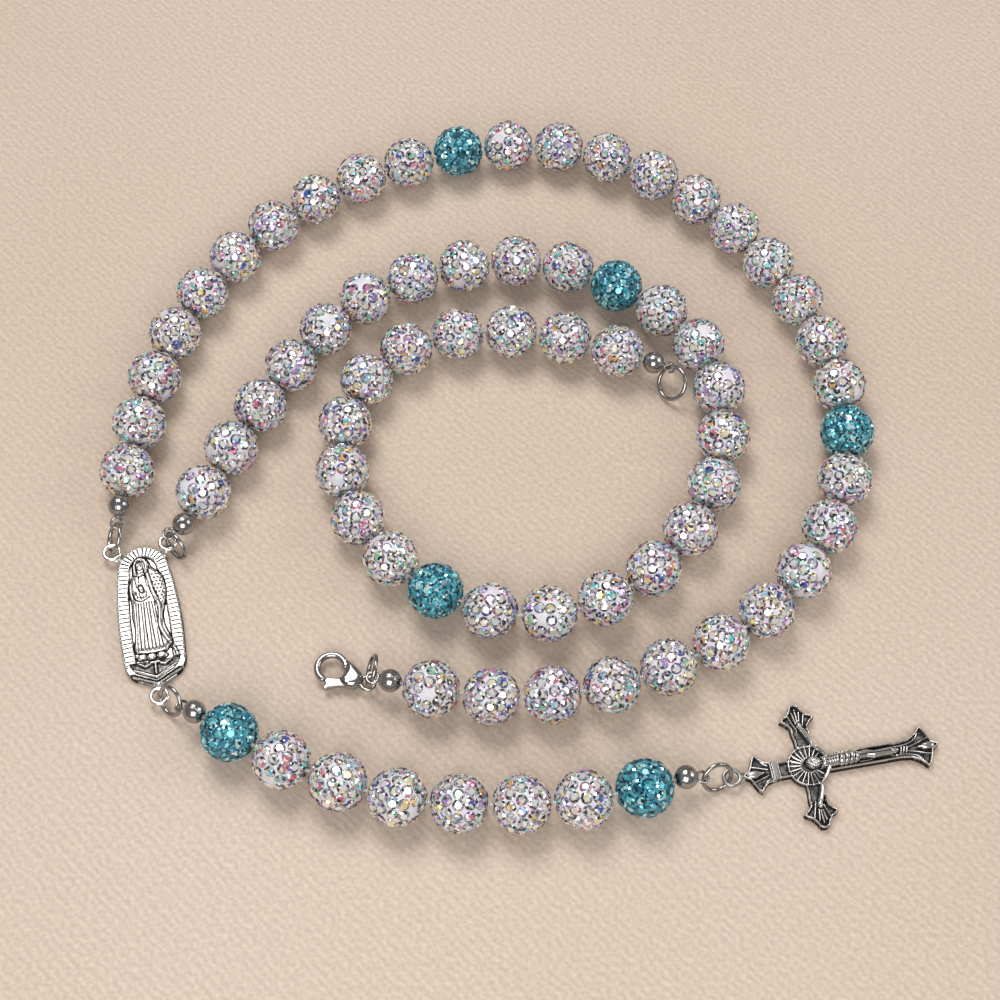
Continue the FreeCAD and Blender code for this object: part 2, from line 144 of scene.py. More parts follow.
# ---- cords ------------------------------------------------------------------
# Route points of each beading cord, in metres, as it is strung from left to right.
STRAND_Z = 0.00495
STRAND_D = 0.0006
SPLICE = 0.00015         # a later decade's cord starts this far past a loop bead's cord
POINT_RADIUS = 0.001     # a route point's own radius, which its box would count in full
ROUTES = {
    "decade_1": [(-0.0065, 0.0197), (-0.005, 0.036), (-0.0015, 0.054), (0.008, 0.073),
                 (0.024, 0.0885), (0.0405, 0.097), (0.0575, 0.1015)],
    "decade_2": [(0.0575, 0.1015), (0.075, 0.102), (0.093, 0.094), (0.108, 0.0805),
                 (0.119, 0.062), (0.124, 0.046), (0.124, 0.03)],
    "decade_3": [(0.124, 0.03), (0.1205, 0.017), (0.111, 0.002), (0.0955, -0.0095),
                 (0.077, -0.016), (0.059, -0.0175), (0.0425, -0.0139)],
    "decade_4": [(0.0052, 0.016), (0.012, 0.031), (0.0215, 0.049), (0.0345, 0.0655),
                 (0.0525, 0.0725), (0.0715, 0.074), (0.0875, 0.065)],
    "decade_5": [(0.0875, 0.065), (0.0965, 0.058), (0.1015, 0.047), (0.102, 0.034),
                 (0.0985, 0.02), (0.088, 0.006), (0.073, -0.002), (0.0575, -0.0015),
                 (0.0455, 0.0055)],
    "decade_6": [(0.0455, 0.0055), (0.0365, 0.0145), (0.032, 0.0265), (0.0325, 0.04),
                 (0.0395, 0.052), (0.054, 0.0575), (0.0725, 0.0565), (0.0895, 0.05)],
    "pendant": [(0.01, -0.0195), (0.024, -0.028), (0.043, -0.035), (0.063, -0.036),
                (0.079, -0.0345), (0.0915, -0.031)],
}
LATER_CORDS = ("decade_2", "decade_3", "decade_5", "decade_6")


def cord_curve(name, points, diameter):
    """Smooth cord: a NURBS spline with the route's points as control points."""
    curve = bpy.data.curves.new(name, "CURVE")
    curve.dimensions = "3D"
    curve.resolution_u = 24
    curve.bevel_depth = diameter / 2 / POINT_RADIUS
    curve.bevel_resolution = 4
    curve.use_fill_caps = True
    spline = curve.splines.new("NURBS")
    spline.points.add(len(points) - 1)
    for spline_point, place in zip(spline.points, points):
        spline_point.co = (*place, 1.0)
        spline_point.radius = POINT_RADIUS
    spline.order_u = 3
    spline.use_endpoint_u = True
    return linked(name, curve)


def centre_line(obj):
    """Points along a curve's own spline, in millimetres."""
    bare = obj.data.copy()
    bare.bevel_depth = 0.0
    ghost = bpy.data.objects.new("ghost", bare)
    mesh = bpy.data.meshes.new_from_object(ghost)
    points = mesh_points(mesh)
    bpy.data.objects.remove(ghost)
    bpy.data.curves.remove(bare)
    bpy.data.meshes.remove(mesh)
    return points


def along_line(points, distance):
    """The point at a distance along a line."""
    steps = np.linalg.norm(np.diff(points, axis=0), axis=1)
    travelled = np.concatenate([[0.0], np.cumsum(steps)])
    return np.array([np.interp(distance, travelled, points[:, i]) for i in range(3)])


cords = {}
lines = {}
for body, flat_points in ROUTES.items():
    places = [Vector((x, y, STRAND_Z)) for x, y in flat_points]
    if body in LATER_CORDS:
        places[0] = places[0] + (places[1] - places[0]).normalized() * SPLICE
    cord = cord_curve("cord_" + body, places, STRAND_D)
    cords[body] = cord
    lines[body] = centre_line(cord)
    dress(cord, body, "strand_" + body)

# ---- materials --------------------------------------------------------------
WHITE = (1.0, 1.0, 1.0)


class Surface:
    """A material with its node tree, and short ways to add nodes and links."""

    def __init__(self, name, **settings):
        self.material = bpy.data.materials.new(name)
        self.material.use_nodes = True
        self.nodes = self.material.node_tree.nodes
        self.links = self.material.node_tree.links
        self.shader = self.nodes["Principled BSDF"]
        for socket, value in settings.items():
            self.shader.inputs[socket.replace("_", " ")].default_value = value

    def add(self, kind, **inputs):
        node = self.nodes.new("ShaderNode" + kind)
        for socket, value in inputs.items():
            socket = socket.replace("_", " ")
            if hasattr(value, "is_output"):
                self.links.new(value, node.inputs[socket])
            else:
                node.inputs[socket].default_value = value
        return node

    def attribute(self, name):
        node = self.nodes.new("ShaderNodeAttribute")
        node.attribute_name = name
        return node

    def texture(self, kind, **inputs):
        return self.add(kind, Vector=self.add("TexCoord").outputs["Object"], **inputs)

    def noise(self, scale, detail=3.0):
        return self.texture("TexNoise", Scale=scale, Detail=detail, Roughness=0.6).outputs["Fac"]

    def ramp(self, fac, stops):
        node = self.add("ValToRGB", Fac=fac)
        elements = node.color_ramp.elements
        while len(elements) < len(stops):
            elements.new(0.5)
        for element, (place, colour) in zip(elements, stops):
            element.position = place
            element.color = (*colour, 1.0)
        return node.outputs["Color"]

    def mix(self, fac, first, second, blend="MIX"):
        node = self.nodes.new("ShaderNodeMix")
        node.data_type = "RGBA"
        node.blend_type = blend
        for index, value in ((0, fac), (6, first), (7, second)):
            if hasattr(value, "is_output"):
                self.links.new(value, node.inputs[index])
            elif index == 0:
                node.inputs[index].default_value = value
            else:
                node.inputs[index].default_value = (*value, 1.0)
        return node.outputs[2]

    def colour(self, socket):
        self.links.new(socket, self.shader.inputs["Base Color"])

    def roughness(self, fac, low, high):
        spread = self.add("MapRange", Value=fac, To_Min=low, To_Max=high)
        self.links.new(spread.outputs["Result"], self.shader.inputs["Roughness"])

    def bump(self, height, strength, distance):
        node = self.add("Bump", Strength=strength, Distance=distance, Height=height)
        self.links.new(node.outputs["Normal"], self.shader.inputs["Normal"])


def clay(name, light, dark):
    surface = Surface(name)
    grain = surface.noise(900.0, 4.0)
    surface.colour(surface.ramp(grain, [(0.3, dark), (0.7, light)]))
    surface.roughness(grain, 0.38, 0.62)
    surface.bump(grain, 0.25, 0.0001)
    return surface.material


def crystal(name):
    """Foil-backed glass: each facet's colour is painted reflection and glint (over the teal stones' own hue),
    under a clear glossy coat.
    """
    surface = Surface(name, Metallic=0.5, Roughness=0.12, Coat_Weight=0.8, Coat_Roughness=0.03,
                      Coat_IOR=1.55)
    facet_hue_and_glint = surface.attribute("facet_hue_and_glint").outputs["Color"]
    speck = surface.noise(2600.0, 2.0)
    shade = surface.ramp(speck, [(0.35, (0.82, 0.82, 0.84)), (0.65, WHITE)])
    surface.colour(surface.mix(1.0, facet_hue_and_glint, shade, "MULTIPLY"))
    return surface.material


def steel(name, light, dark, low, high):
    """Polished metal with faint smears and hairline scratches."""
    surface = Surface(name, Metallic=1.0)
    smear = surface.noise(240.0, 5.0)
    surface.colour(surface.ramp(smear, [(0.3, dark), (0.75, light)]))
    surface.roughness(smear, low, high)
    scratch = surface.noise(3200.0, 2.0)
    surface.bump(scratch, 0.06, 0.00005)
    return surface.material


def cast_silver(name, light, dark, low, high):
    """Cast silver finish: worn bright on high places, blackened in the recesses."""
    surface = Surface(name, Metallic=1.0)
    smear = surface.noise(420.0, 5.0)
    worn = surface.ramp(smear, [(0.3, dark), (0.7, light)])
    hollow = surface.attribute("tarnish").outputs["Fac"]
    mottle = surface.add("Math", Value=hollow)
    mottle.operation = "MULTIPLY_ADD"
    surface.links.new(surface.noise(1500.0), mottle.inputs[1])
    surface.links.new(hollow, mottle.inputs[2])
    black = surface.ramp(mottle.outputs[0], [(0.28, (0, 0, 0)), (0.85, (1, 1, 1))])
    surface.colour(surface.mix(black, worn, (0.030, 0.028, 0.027)))
    surface.roughness(black, low, high + 0.25)
    grain = surface.noise(2800.0, 2.0)
    surface.bump(grain, 0.08, 0.00006)
    return surface.material


def thread(name):
    surface = Surface(name, Roughness=0.6)
    twist = surface.texture("TexWave", Scale=900.0, Distortion=1.5).outputs["Fac"]
    surface.colour(surface.ramp(twist, [(0.2, (0.42, 0.41, 0.40)), (0.8, (0.78, 0.77, 0.74))]))
    surface.bump(twist, 0.4, 0.0001)
    return surface.material


WHITE_CLAY = clay("white_clay", (0.76, 0.74, 0.80), (0.62, 0.60, 0.66))
TEAL_CLAY = clay("teal_clay", (0.07, 0.36, 0.44), (0.02, 0.22, 0.29))
CRYSTAL = crystal("foiled_crystal")
TEAL_CRYSTAL = crystal("teal_crystal")
DARK_STEEL = steel("dark_steel", (0.46, 0.45, 0.44), (0.30, 0.29, 0.29), 0.10, 0.24)
BRIGHT_SILVER = cast_silver("bright_silver_cast", (0.86, 0.85, 0.83), (0.66, 0.65, 0.64),
                            0.16, 0.30)
ANTIQUE_SILVER = cast_silver("antique_silver_cast", (0.80, 0.79, 0.77), (0.50, 0.49, 0.48),
                             0.18, 0.34)
THREAD = thread("beading_thread")

for cord in cords.values():
    cord.data.materials.append(THREAD)


def mesh_object(name, vertices, faces, materials, smooth=False):
    """A mesh piece from points in millimetres."""
    mesh = bpy.data.meshes.new(name)
    mesh.from_pydata((np.asarray(vertices) * MM).tolist(), [], faces)
    for material in materials:
        mesh.materials.append(material)
    if smooth:
        mesh.shade_smooth()
    return linked(name, mesh)


# ---- crystal beads ----------------------------------------------------------
BEAD_R = 4.95            # over the crystals, as the CAD ball
CORE_R = 4.62
HOLE_R = 0.9
STONE_R = 1.04
STONE_SET = 4.53         # height of a stone's girdle above the bead's centre
STONE_H = 0.38
TABLE_SHARE = 0.56
TIP_TO_BEAD = 7.1        # from a cord's end to its first bead, along the cord
BEAD_PITCH = 10.15
HOLE_LIP = 0.12          # bevel round the hole
UNEVEN = 0.006           # share by which the clay skin swells and sinks
MISSING = 0.02           # share of the white beads' stones that have dropped out
WHITE_ROWS = [(90, 14), (66, 13), (114, 13), (43, 9), (137, 9), (23, 5), (157, 5)]
TEAL_ROWS = [(90, 15), (67, 14), (113, 14), (44.5, 10), (135.5, 10), (23.5, 5), (156.5, 5)]

# Painted reflections of the foiled facets, brightest first (the teal ones over the stones' own hue), and the
# rainbow coating's flashes painted in as fixed colours.
WHITE_PAINTED_GLINTS = [(1.0, 0.99, 0.94), (1.0, 0.97, 0.80), (0.94, 0.96, 1.0), (0.62, 0.61, 0.64),
               (0.34, 0.33, 0.36), (0.13, 0.12, 0.15), (0.04, 0.035, 0.06)]
WHITE_PAINTED_FLASHES = [(0.95, 0.30, 0.55), (0.60, 0.35, 0.90), (0.10, 0.16, 0.62), (0.20, 0.78, 0.80),
                 (0.30, 0.80, 0.50), (1.0, 0.55, 0.18), (1.0, 0.86, 0.34), (0.80, 0.22, 0.30),
                 (1.0, 0.90, 0.50), (0.45, 0.75, 1.0)]
TEAL_HUES_AND_GLINTS = [(0.40, 0.90, 0.96), (0.14, 0.62, 0.72), (0.07, 0.42, 0.52), (0.03, 0.28, 0.37),
              (0.012, 0.15, 0.22), (0.005, 0.07, 0.11), (0.003, 0.02, 0.035)]
TEAL_PAINTED_FLASHES = [(0.70, 1.0, 1.0), (0.10, 0.60, 0.76), (0.03, 0.24, 0.40), (0.015, 0.14, 0.24)]


def core_shape(rng, segments=56, rows=36):
    """Clay ball with a drilled hole along local Z and slightly uneven skin."""
    lip = math.asin((HOLE_R + HOLE_LIP) / CORE_R)
    profile = []
    for row in range(rows + 1):
        polar = lip + (math.pi - 2 * lip) * row / rows
        profile.append((CORE_R * math.sin(polar), CORE_R * math.cos(polar), True))
    depth = CORE_R * math.cos(lip) - HOLE_LIP
    profile += [(HOLE_R, -depth, False), (HOLE_R, depth, False)]
    phases = [rng.uniform(0, math.tau) for _ in range(4)]
    vertices = []
    for radius, height, skin in profile:
        for step in range(segments):
            turn = math.tau * step / segments
            swell = 1.0
            if skin:
                swell += UNEVEN * (math.sin(3 * turn + phases[0] + height)
                                   + math.sin(5 * turn + phases[1] - 1.7 * height)
                                   + math.sin(2.3 * height + phases[2]))
            vertices.append((radius * swell * math.cos(turn), radius * swell * math.sin(turn),
                             height))
    return np.array(vertices), woven(len(profile), segments)


def stone_shape():
    """Round cut stone: table, star, kite and girdle facets and a short skirt."""
    vertices = ([(0.0, 0.0, 1.0)] + circle(8, TABLE_SHARE, 1.0) + circle(8, 0.80, 0.60, 0.5)
                + circle(16, 1.0, 0.08) + circle(16, 0.97, -0.75))
    table, middle, girdle = 1, 9, 17
    faces = [(0, table + step, table + (step + 1) % 8) for step in range(8)]
    faces += [(table + step, middle + step, table + (step + 1) % 8) for step in range(8)]
    faces += [(table + step, middle + (step - 1) % 8, girdle + 2 * step, middle + step)
              for step in range(8)]
    for step in range(8):
        first = girdle + 2 * step
        faces.append((middle + step, first, first + 1))
        faces.append((middle + step, first + 1, girdle + (2 * step + 2) % 16))
    faces += [tuple(girdle + corner for corner in quad) for quad in woven(2, 16, False)]
    return np.array(vertices), faces


STONE_POINTS, STONE_FACES = stone_shape()


def stone_places(rng, dense):
    """Directions of the stones: rows round the hole, evenly spaced with some play."""
    places = []
    for polar, count in TEAL_ROWS if dense else WHITE_ROWS:
        start = rng.uniform(0, math.tau)
        for step in range(count):
            if not dense and rng.random() < MISSING:
                continue
            angle = start + math.tau * (step + rng.uniform(-0.07, 0.07)) / count
            lean = math.radians(polar + rng.uniform(-1.6, 1.6))
            places.append(np.array([math.sin(lean) * math.cos(angle),
                                    math.sin(lean) * math.sin(angle), math.cos(lean)]))
    return places


def facet_hues_and_glints(rng, hues_and_painted_glints, painted_flashes):
    """A colour for each facet of one stone, as painted reflection: a lit or shaded table in a darker ring, with
    painted rainbow flashes.
    """
    first, second = rng.choice(painted_flashes), rng.choice(painted_flashes)
    mood = rng.random()
    if mood < 0.50:
        lit, shaded = rng.choice(hues_and_painted_glints[:3]), rng.choice(hues_and_painted_glints[:4])
    elif mood < 0.74:
        lit, shaded = first, rng.choice(hues_and_painted_glints[:3])
    elif mood < 0.88:
        lit, shaded = rng.choice(hues_and_painted_glints[:3]), rng.choice(hues_and_painted_glints[4:])
    else:
        lit, shaded = first, rng.choice(hues_and_painted_glints[4:])
    turn = rng.randrange(8)
    colours = []
    for index in range(len(STONE_FACES)):
        draw = rng.random()
        if index < 8:
            colour = lit if (index + turn) % 8 < 5 else shaded
        elif index < 24:
            if draw < 0.60:
                colour = rng.choice(hues_and_painted_glints[3:7])
            elif draw < 0.76:
                colour = rng.choice(hues_and_painted_glints[:3])
            else:
                colour = first if draw < 0.88 else second
        else:
            colour = rng.choice(hues_and_painted_glints[3:7]) if draw < 0.8 else second
        colours.append(colour)
    return colours


def crystal_bead(name, centre, axis, seed, teal, body, node):
    """One bead: a drilled clay ball set all over with cut stones."""
    rng = random.Random(seed)
    frame_axes = axes_from(axis, UP)
    vertices, faces = core_shape(rng)
    all_points = [vertices]
    all_faces = list(faces)
    hues_and_painted_glints = [(0.5, 0.5, 0.5)] * len(faces)
    which = [0] * len(faces)
    offset = len(vertices)
    palette = (TEAL_HUES_AND_GLINTS, TEAL_PAINTED_FLASHES) if teal else (WHITE_PAINTED_GLINTS, WHITE_PAINTED_FLASHES)
    for place in stone_places(rng, teal):
        tilt = unit(place + np.array([rng.gauss(0, 0.05) for _ in range(3)]))
        turn = rng.uniform(0, math.tau)
        hint = np.array([math.cos(turn), math.sin(turn), 0.3])
        radius = STONE_R * rng.uniform(0.93, 1.03)
        sized = STONE_POINTS * np.array([radius, radius, STONE_H])
        local = sized @ axes_from(tilt, hint).T + place * (STONE_SET + rng.uniform(-0.03, 0.03))
        all_points.append(local)
        all_faces += [tuple(index + offset for index in face) for face in STONE_FACES]
        hues_and_painted_glints += facet_hues_and_glints(rng, *palette)
        which += [1] * len(STONE_FACES)
        offset += len(local)
    points = np.vstack(all_points) @ frame_axes.T + centre
    materials = [TEAL_CLAY, TEAL_CRYSTAL] if teal else [WHITE_CLAY, CRYSTAL]
    obj = mesh_object(name, points, all_faces, materials)
    mesh = obj.data
    # Each stone facet's colour is painted reflection and glint; only the teal stones' hue is their own.
    layer = mesh.attributes.new("facet_hue_and_glint", "FLOAT_COLOR", "FACE")
    colours = np.column_stack([np.array(hues_and_painted_glints), np.ones(len(hues_and_painted_glints))])
    layer.data.foreach_set("color", colours.ravel())
    mesh.polygons.foreach_set("material_index", which)
    mesh.polygons.foreach_set("use_smooth", [index == 0 for index in which])
    dress(obj, body, node)


def chord_axis(line, place):
    """Direction of the cord through a bead at a place, from its two ends."""
    nearest = int(np.argmin(np.linalg.norm(line - place, axis=1)))
    travelled = np.linalg.norm(np.diff(line[:nearest + 1], axis=0), axis=1).sum()
    before = along_line(line, max(0, travelled - BEAD_R))
    return unit(along_line(line, travelled + BEAD_R) - before)


def decade_centres(body):
    """Centres of a decade's ten beads: its CAD balls, split by place along the cord."""
    points = node_points("beads_" + body)
    line = lines[body]
    start = BEAD_R + SPLICE / MM if body in LATER_CORDS else TIP_TO_BEAD
    seeds = np.array([along_line(line, start + BEAD_PITCH * index) for index in range(10)])
    for _ in range(4):
        gaps = np.linalg.norm(points[:, None, :] - seeds[None, :, :], axis=2)
        nearest = gaps.argmin(axis=1)
        seeds = np.array([sphere_centre(points[nearest == index]) for index in range(10)])
    return seeds


for decade in range(1, 7):
    body = "decade_%d" % decade
    for index, centre in enumerate(decade_centres(body)):
        crystal_bead("white_bead_%d_%02d" % (decade, index + 1), centre,
                     chord_axis(lines[body], centre), 1000 * decade + index, False, body,
                     "beads_" + body)

# Beads that spin on their own: each has a body with its node's name.
single_beads = ["%s_bead_%d" % (kind, index) for kind in ("teal", "pendant")
                for index in range(1, 7)]
for index, node in enumerate(single_beads):
    crystal_bead("crystal_" + node, sphere_centre(node_points(node)),
                 JOINTS[node + "_spin"]["axis"], 7000 + index, node.startswith("teal"), node, node)

# ---- relief: cast pieces drawn as height fields -----------------------------
def arc_points(first, middle, last, count=24):
    """Points on the arc through three points, without the last one."""
    (ax, ay), (bx, by), (cx, cy) = first, middle, last
    twice = 2 * (ax * (by - cy) + bx * (cy - ay) + cx * (ay - by))
    a2, b2, c2 = ax * ax + ay * ay, bx * bx + by * by, cx * cx + cy * cy
    mid_x = (a2 * (by - cy) + b2 * (cy - ay) + c2 * (ay - by)) / twice
    mid_y = (a2 * (cx - bx) + b2 * (ax - cx) + c2 * (bx - ax)) / twice
    start = math.atan2(ay - mid_y, ax - mid_x)
    through = (math.atan2(by - mid_y, bx - mid_x) - start) % math.tau
    sweep = (math.atan2(cy - mid_y, cx - mid_x) - start) % math.tau
    if through > sweep:
        sweep -= math.tau
    radius = math.hypot(ax - mid_x, ay - mid_y)
    return [(mid_x + radius * math.cos(start + sweep * step / count),
             mid_y + radius * math.sin(start + sweep * step / count)) for step in range(count)]


def rounded(points, passes=2, closed=True):
    """Corner-cut copy of an outline."""
    points = [tuple(point) for point in points]
    for _ in range(passes):
        ends = points[1:] + points[:1] if closed else points[1:]
        starts = points if closed else points[:-1]
        cut = [] if closed else [points[0]]
        for (ax, ay), (bx, by) in zip(starts, ends):
            cut.append((0.75 * ax + 0.25 * bx, 0.75 * ay + 0.25 * by))
            cut.append((0.25 * ax + 0.75 * bx, 0.25 * ay + 0.75 * by))
        if not closed:
            cut.append(points[-1])
        points = cut
    return points


def from_line(x, y, points, closed=False):
    """Distance from a polyline, and how far along it the nearest place is."""
    points = list(points) + ([points[0]] if closed else [])
    gap = np.full(x.shape, 1e6)
    along = np.zeros(x.shape)
    travelled = 0.0
    for (ax, ay), (bx, by) in zip(points, points[1:]):
        length = max(math.hypot(bx - ax, by - ay), 1e-9)
        share = np.clip(((x - ax) * (bx - ax) + (y - ay) * (by - ay)) / length ** 2, 0, 1)
        reach = np.hypot(x - ax - share * (bx - ax), y - ay - share * (by - ay))
        nearer = reach < gap
        gap = np.where(nearer, reach, gap)
        along = np.where(nearer, travelled + share * length, along)
        travelled += length
    return gap, along


def depth_in(x, y, outline):
    """How far inside an outline each place is (negative outside), and where along it."""
    within = np.zeros(x.shape, bool)
    for (ax, ay), (bx, by) in zip(outline, outline[1:] + outline[:1]):
        if ay != by:
            within ^= ((ay > y) != (by > y)) & (x < (bx - ax) * (y - ay) / (by - ay) + ax)
    gap, along = from_line(x, y, outline, True)
    return np.where(within, gap, -gap), along


def near(gap, width):
    """1 on a line, falling smoothly to 0 beyond its width."""
    return np.exp(-(gap / width) ** 2)


def dome(depth, reach):
    """0 at an edge, rising in a quarter round to 1 at a depth."""
    share = np.clip(depth / reach, 0, 1)
    return np.sqrt(1 - (1 - share) ** 2)


def ellipse(x, y, centre, size, tilt=0.0):
    """Rough depth inside a tilted ellipse, in millimetres."""
    turn = math.radians(tilt)
    u = (x - centre[0]) * math.cos(turn) + (y - centre[1]) * math.sin(turn)
    v = (y - centre[1]) * math.cos(turn) - (x - centre[0]) * math.sin(turn)
    return (1 - np.hypot(u / size[0], v / size[1])) * min(size)


class Relief:
    """A height field, worked over with ridges, grooves, mounds and limbs in turn."""

    def __init__(self, x, y, level):
        self.x, self.y = x, y
        self.height = np.full(x.shape, level)

    def line(self, points, soft=False):
        """Distance from a line, or from a line with its corners cut."""
        points = rounded(points, closed=False) if soft else points
        return from_line(self.x, self.y, points)[0]

    def ridge(self, gap, rise, width, where=1.0):
        """A ridge on a line; a negative rise is a groove."""
        self.height = self.height + rise * near(gap, width) * where

    def cover(self, level, where=True):
        """Whichever is higher, the field or a level."""
        self.height = np.where(where, np.maximum(self.height, level), self.height)

    def mound(self, centre, size, base, rise, reach, tilt=0.0):
        """A domed ellipse that rises from a base, and its depth."""
        shape = ellipse(self.x, self.y, centre, size, tilt)
        self.cover(base + rise * dome(shape, reach), shape > 0)
        return shape

    def limb(self, line, wide, top, base):
        """A round limb laid along a line, over a base."""
        gap = self.line(line)
        self.cover(np.where(gap < wide, base + (top - base) * dome(wide - gap, wide), 0))


def smeared(field, cells):
    """Box-blurred copy of a grid, three passes."""
    for _ in range(3):
        for axis in (0, 1):
            total = np.zeros_like(field)
            for shift in range(-cells, cells + 1):
                total += np.roll(field, shift, axis=axis)
            field = total / (2 * cells + 1)
    return field


class Grid:
    """Cells of a flat grid that lie inside a shape, with their rim snapped to its edge."""

    def __init__(self, box, step, depth_of):
        x, y = np.meshgrid(np.arange(box[0], box[2] + step, step),
                           np.arange(box[1], box[3] + step, step), indexing="ij")
        depth = depth_of(x, y)
        slope_x, slope_y = np.gradient(depth, step)
        size = np.maximum(np.hypot(slope_x, slope_y), 1e-3)
        rim = np.abs(depth) < 0.8 * step
        self.x = np.where(rim, x - depth * slope_x / size ** 2, x)
        self.y = np.where(rim, y - depth * slope_y / size ** 2, y)
        self.depth = np.where(rim, 0.0, depth)
        usable = (depth > 0) | rim
        middle = (depth[:-1, :-1] + depth[1:, :-1] + depth[1:, 1:] + depth[:-1, 1:]) / 4
        kept = (usable[:-1, :-1] & usable[1:, :-1] & usable[1:, 1:] & usable[:-1, 1:]
                & (middle > 0.25 * step))
        rows = np.arange(x.size).reshape(x.shape)
        corners = np.stack([rows[:-1, :-1], rows[1:, :-1], rows[1:, 1:], rows[:-1, 1:]], axis=-1)
        quads = corners[kept]
        self.used, flat = np.unique(quads, return_inverse=True)
        self.quads = flat.reshape(quads.shape)
        self.count = len(self.used)
        pairs = np.vstack([self.quads[:, [side, (side + 1) % 4]] for side in range(4)])
        keys = np.sort(pairs, axis=1)
        _, first, times = np.unique(keys, axis=0, return_index=True, return_counts=True)
        self.edges = pairs[first[times == 1]]

    def points(self, height):
        return np.column_stack([field.ravel()[self.used] for field in (self.x, self.y, height)])


HOLLOW_REACH, HOLLOW_DEPTH = 0.22, 0.16
FIELD_SHADE, FIELD_FADE = 0.52, 0.12
SKIRT_TARNISH = 0.45
CAST_STEP = 0.075        # grid of the castings' relief


def recesses(height, step):
    """0 on raised places, 1 in the hollows between them."""
    wide = smeared(height, max(1, int(HOLLOW_REACH / step)))
    return np.clip((wide - height) / HOLLOW_DEPTH + 0.12, 0, 1)


def darken(obj, tarnish):
    """How black each of a casting's points is."""
    layer = obj.data.attributes.new("tarnish", "FLOAT", "POINT")
    layer.data.foreach_set("value", tarnish)


def cast_piece(name, box, step, depth_of, height_of, placed_by, material, field):
    """A flat-backed casting: relief on top, blackened below the field's height, and a skirt."""
    grid = Grid(box, step, depth_of)
    height = height_of(grid.x, grid.y)
    below_field = FIELD_SHADE * np.clip((field - height) / FIELD_FADE, 0, 1)
    dark = np.maximum(recesses(height, step), below_field).ravel()[grid.used]
    top = grid.points(height)
    rim = np.unique(grid.edges)
    place_in_rim = {int(vertex): index for index, vertex in enumerate(rim)}
    low = top[rim].copy()
    low[:, 2] = 0.0
    vertices = np.vstack([top, low])
    faces = [tuple(quad) for quad in grid.quads.tolist()]
    for first, second in grid.edges.tolist():
        faces.append((second, first, grid.count + place_in_rim[first],
                      grid.count + place_in_rim[second]))
    obj = mesh_object(name, placed_by(vertices), faces, [material], smooth=True)
    work = bmesh.new()
    work.from_mesh(obj.data)
    loose = [edge for edge in work.edges if edge.is_boundary]
    bmesh.ops.triangle_fill(work, edges=loose, use_beauty=True, normal=(0, 0, -1))
    bmesh.ops.recalc_face_normals(work, faces=work.faces)
    for edge in loose:
        edge.smooth = False
    work.to_mesh(obj.data)
    work.free()
    darken(obj, np.concatenate([dark, np.full(len(low), SKIRT_TARNISH)]))
    return obj


WIRE_SIDES = 20


def ring_mesh(name, centre, axis, radius, wire, material, tarnish, segments=72):
    """Closed round loop of wire."""
    axes = axes_from(axis, np.array([0.31, 0.87, 0.11]))
    vertices = []
    for step in range(segments):
        turn = math.tau * step / segments
        for side in range(WIRE_SIDES):
            angle = math.tau * side / WIRE_SIDES
            reach = radius + wire / 2 * math.cos(angle)
            vertices.append((reach * math.cos(turn), reach * math.sin(turn),
                             wire / 2 * math.sin(angle)))
    points = np.array(vertices) @ axes.T + centre
    obj = mesh_object(name, points, woven(segments, WIRE_SIDES), [material], smooth=True)
    darken(obj, np.full(len(vertices), tarnish))
    return obj


def strut(name, start, end, wide, high, material, tarnish):
    """Short rounded bar that swells at both ends, with its width level."""
    start, end = np.asarray(start, float), np.asarray(end, float)
    along = unit(end - start)
    level = unit(np.cross(UP, along))
    upward = np.cross(along, level)
    rows = 14
    vertices = []
    for row in range(rows + 1):
        share = row / rows
        swell = 1 + 0.25 * math.cos(math.tau * share)
        close = 0.02 if row in (0, rows) else 1.0
        for side in range(WIRE_SIDES):
            angle = math.tau * side / WIRE_SIDES
            vertices.append(start + (end - start) * share
                            + level * (wide / 2 * swell * close * math.cos(angle))
                            + upward * (high / 2 * close * math.sin(angle)))
    faces = [(a, d, c, b) for a, b, c, d in woven(rows + 1, WIRE_SIDES, False)]
    faces.append(tuple(range(WIRE_SIDES))[::-1])
    faces.append(tuple(rows * WIRE_SIDES + side for side in range(WIRE_SIDES)))
    obj = mesh_object(name, vertices, faces, [material], smooth=True)
    darken(obj, np.full(len(vertices), tarnish))
    return obj


# ---- centre medal -----------------------------------------------------------
EYELET_HIGH = 13.3
EYELET_Z = 1.7
EYELET_R = 1.4
EYELET_WIRE = 0.76
RIB_PITCH = 0.84
MEDAL_FIELD = 1.25
FOOT_TOP, FOOT_FIELD = -8.6, 1.05
BEADED_PITCH = 0.46
LEFT_EYE, RIGHT_EYE = joint_point("outer_ring_turn"), joint_point("inner_ring_turn")
LOW_EYE = joint_point("pendant_ring_turn")
MEDAL_X = unit(RIGHT_EYE - LEFT_EYE)
MEDAL_Y = np.cross(UP, MEDAL_X)
MEDAL_MID = (LEFT_EYE + RIGHT_EYE) / 2 - MEDAL_Y * EYELET_HIGH
MEDAL_MID[2] = 0.0

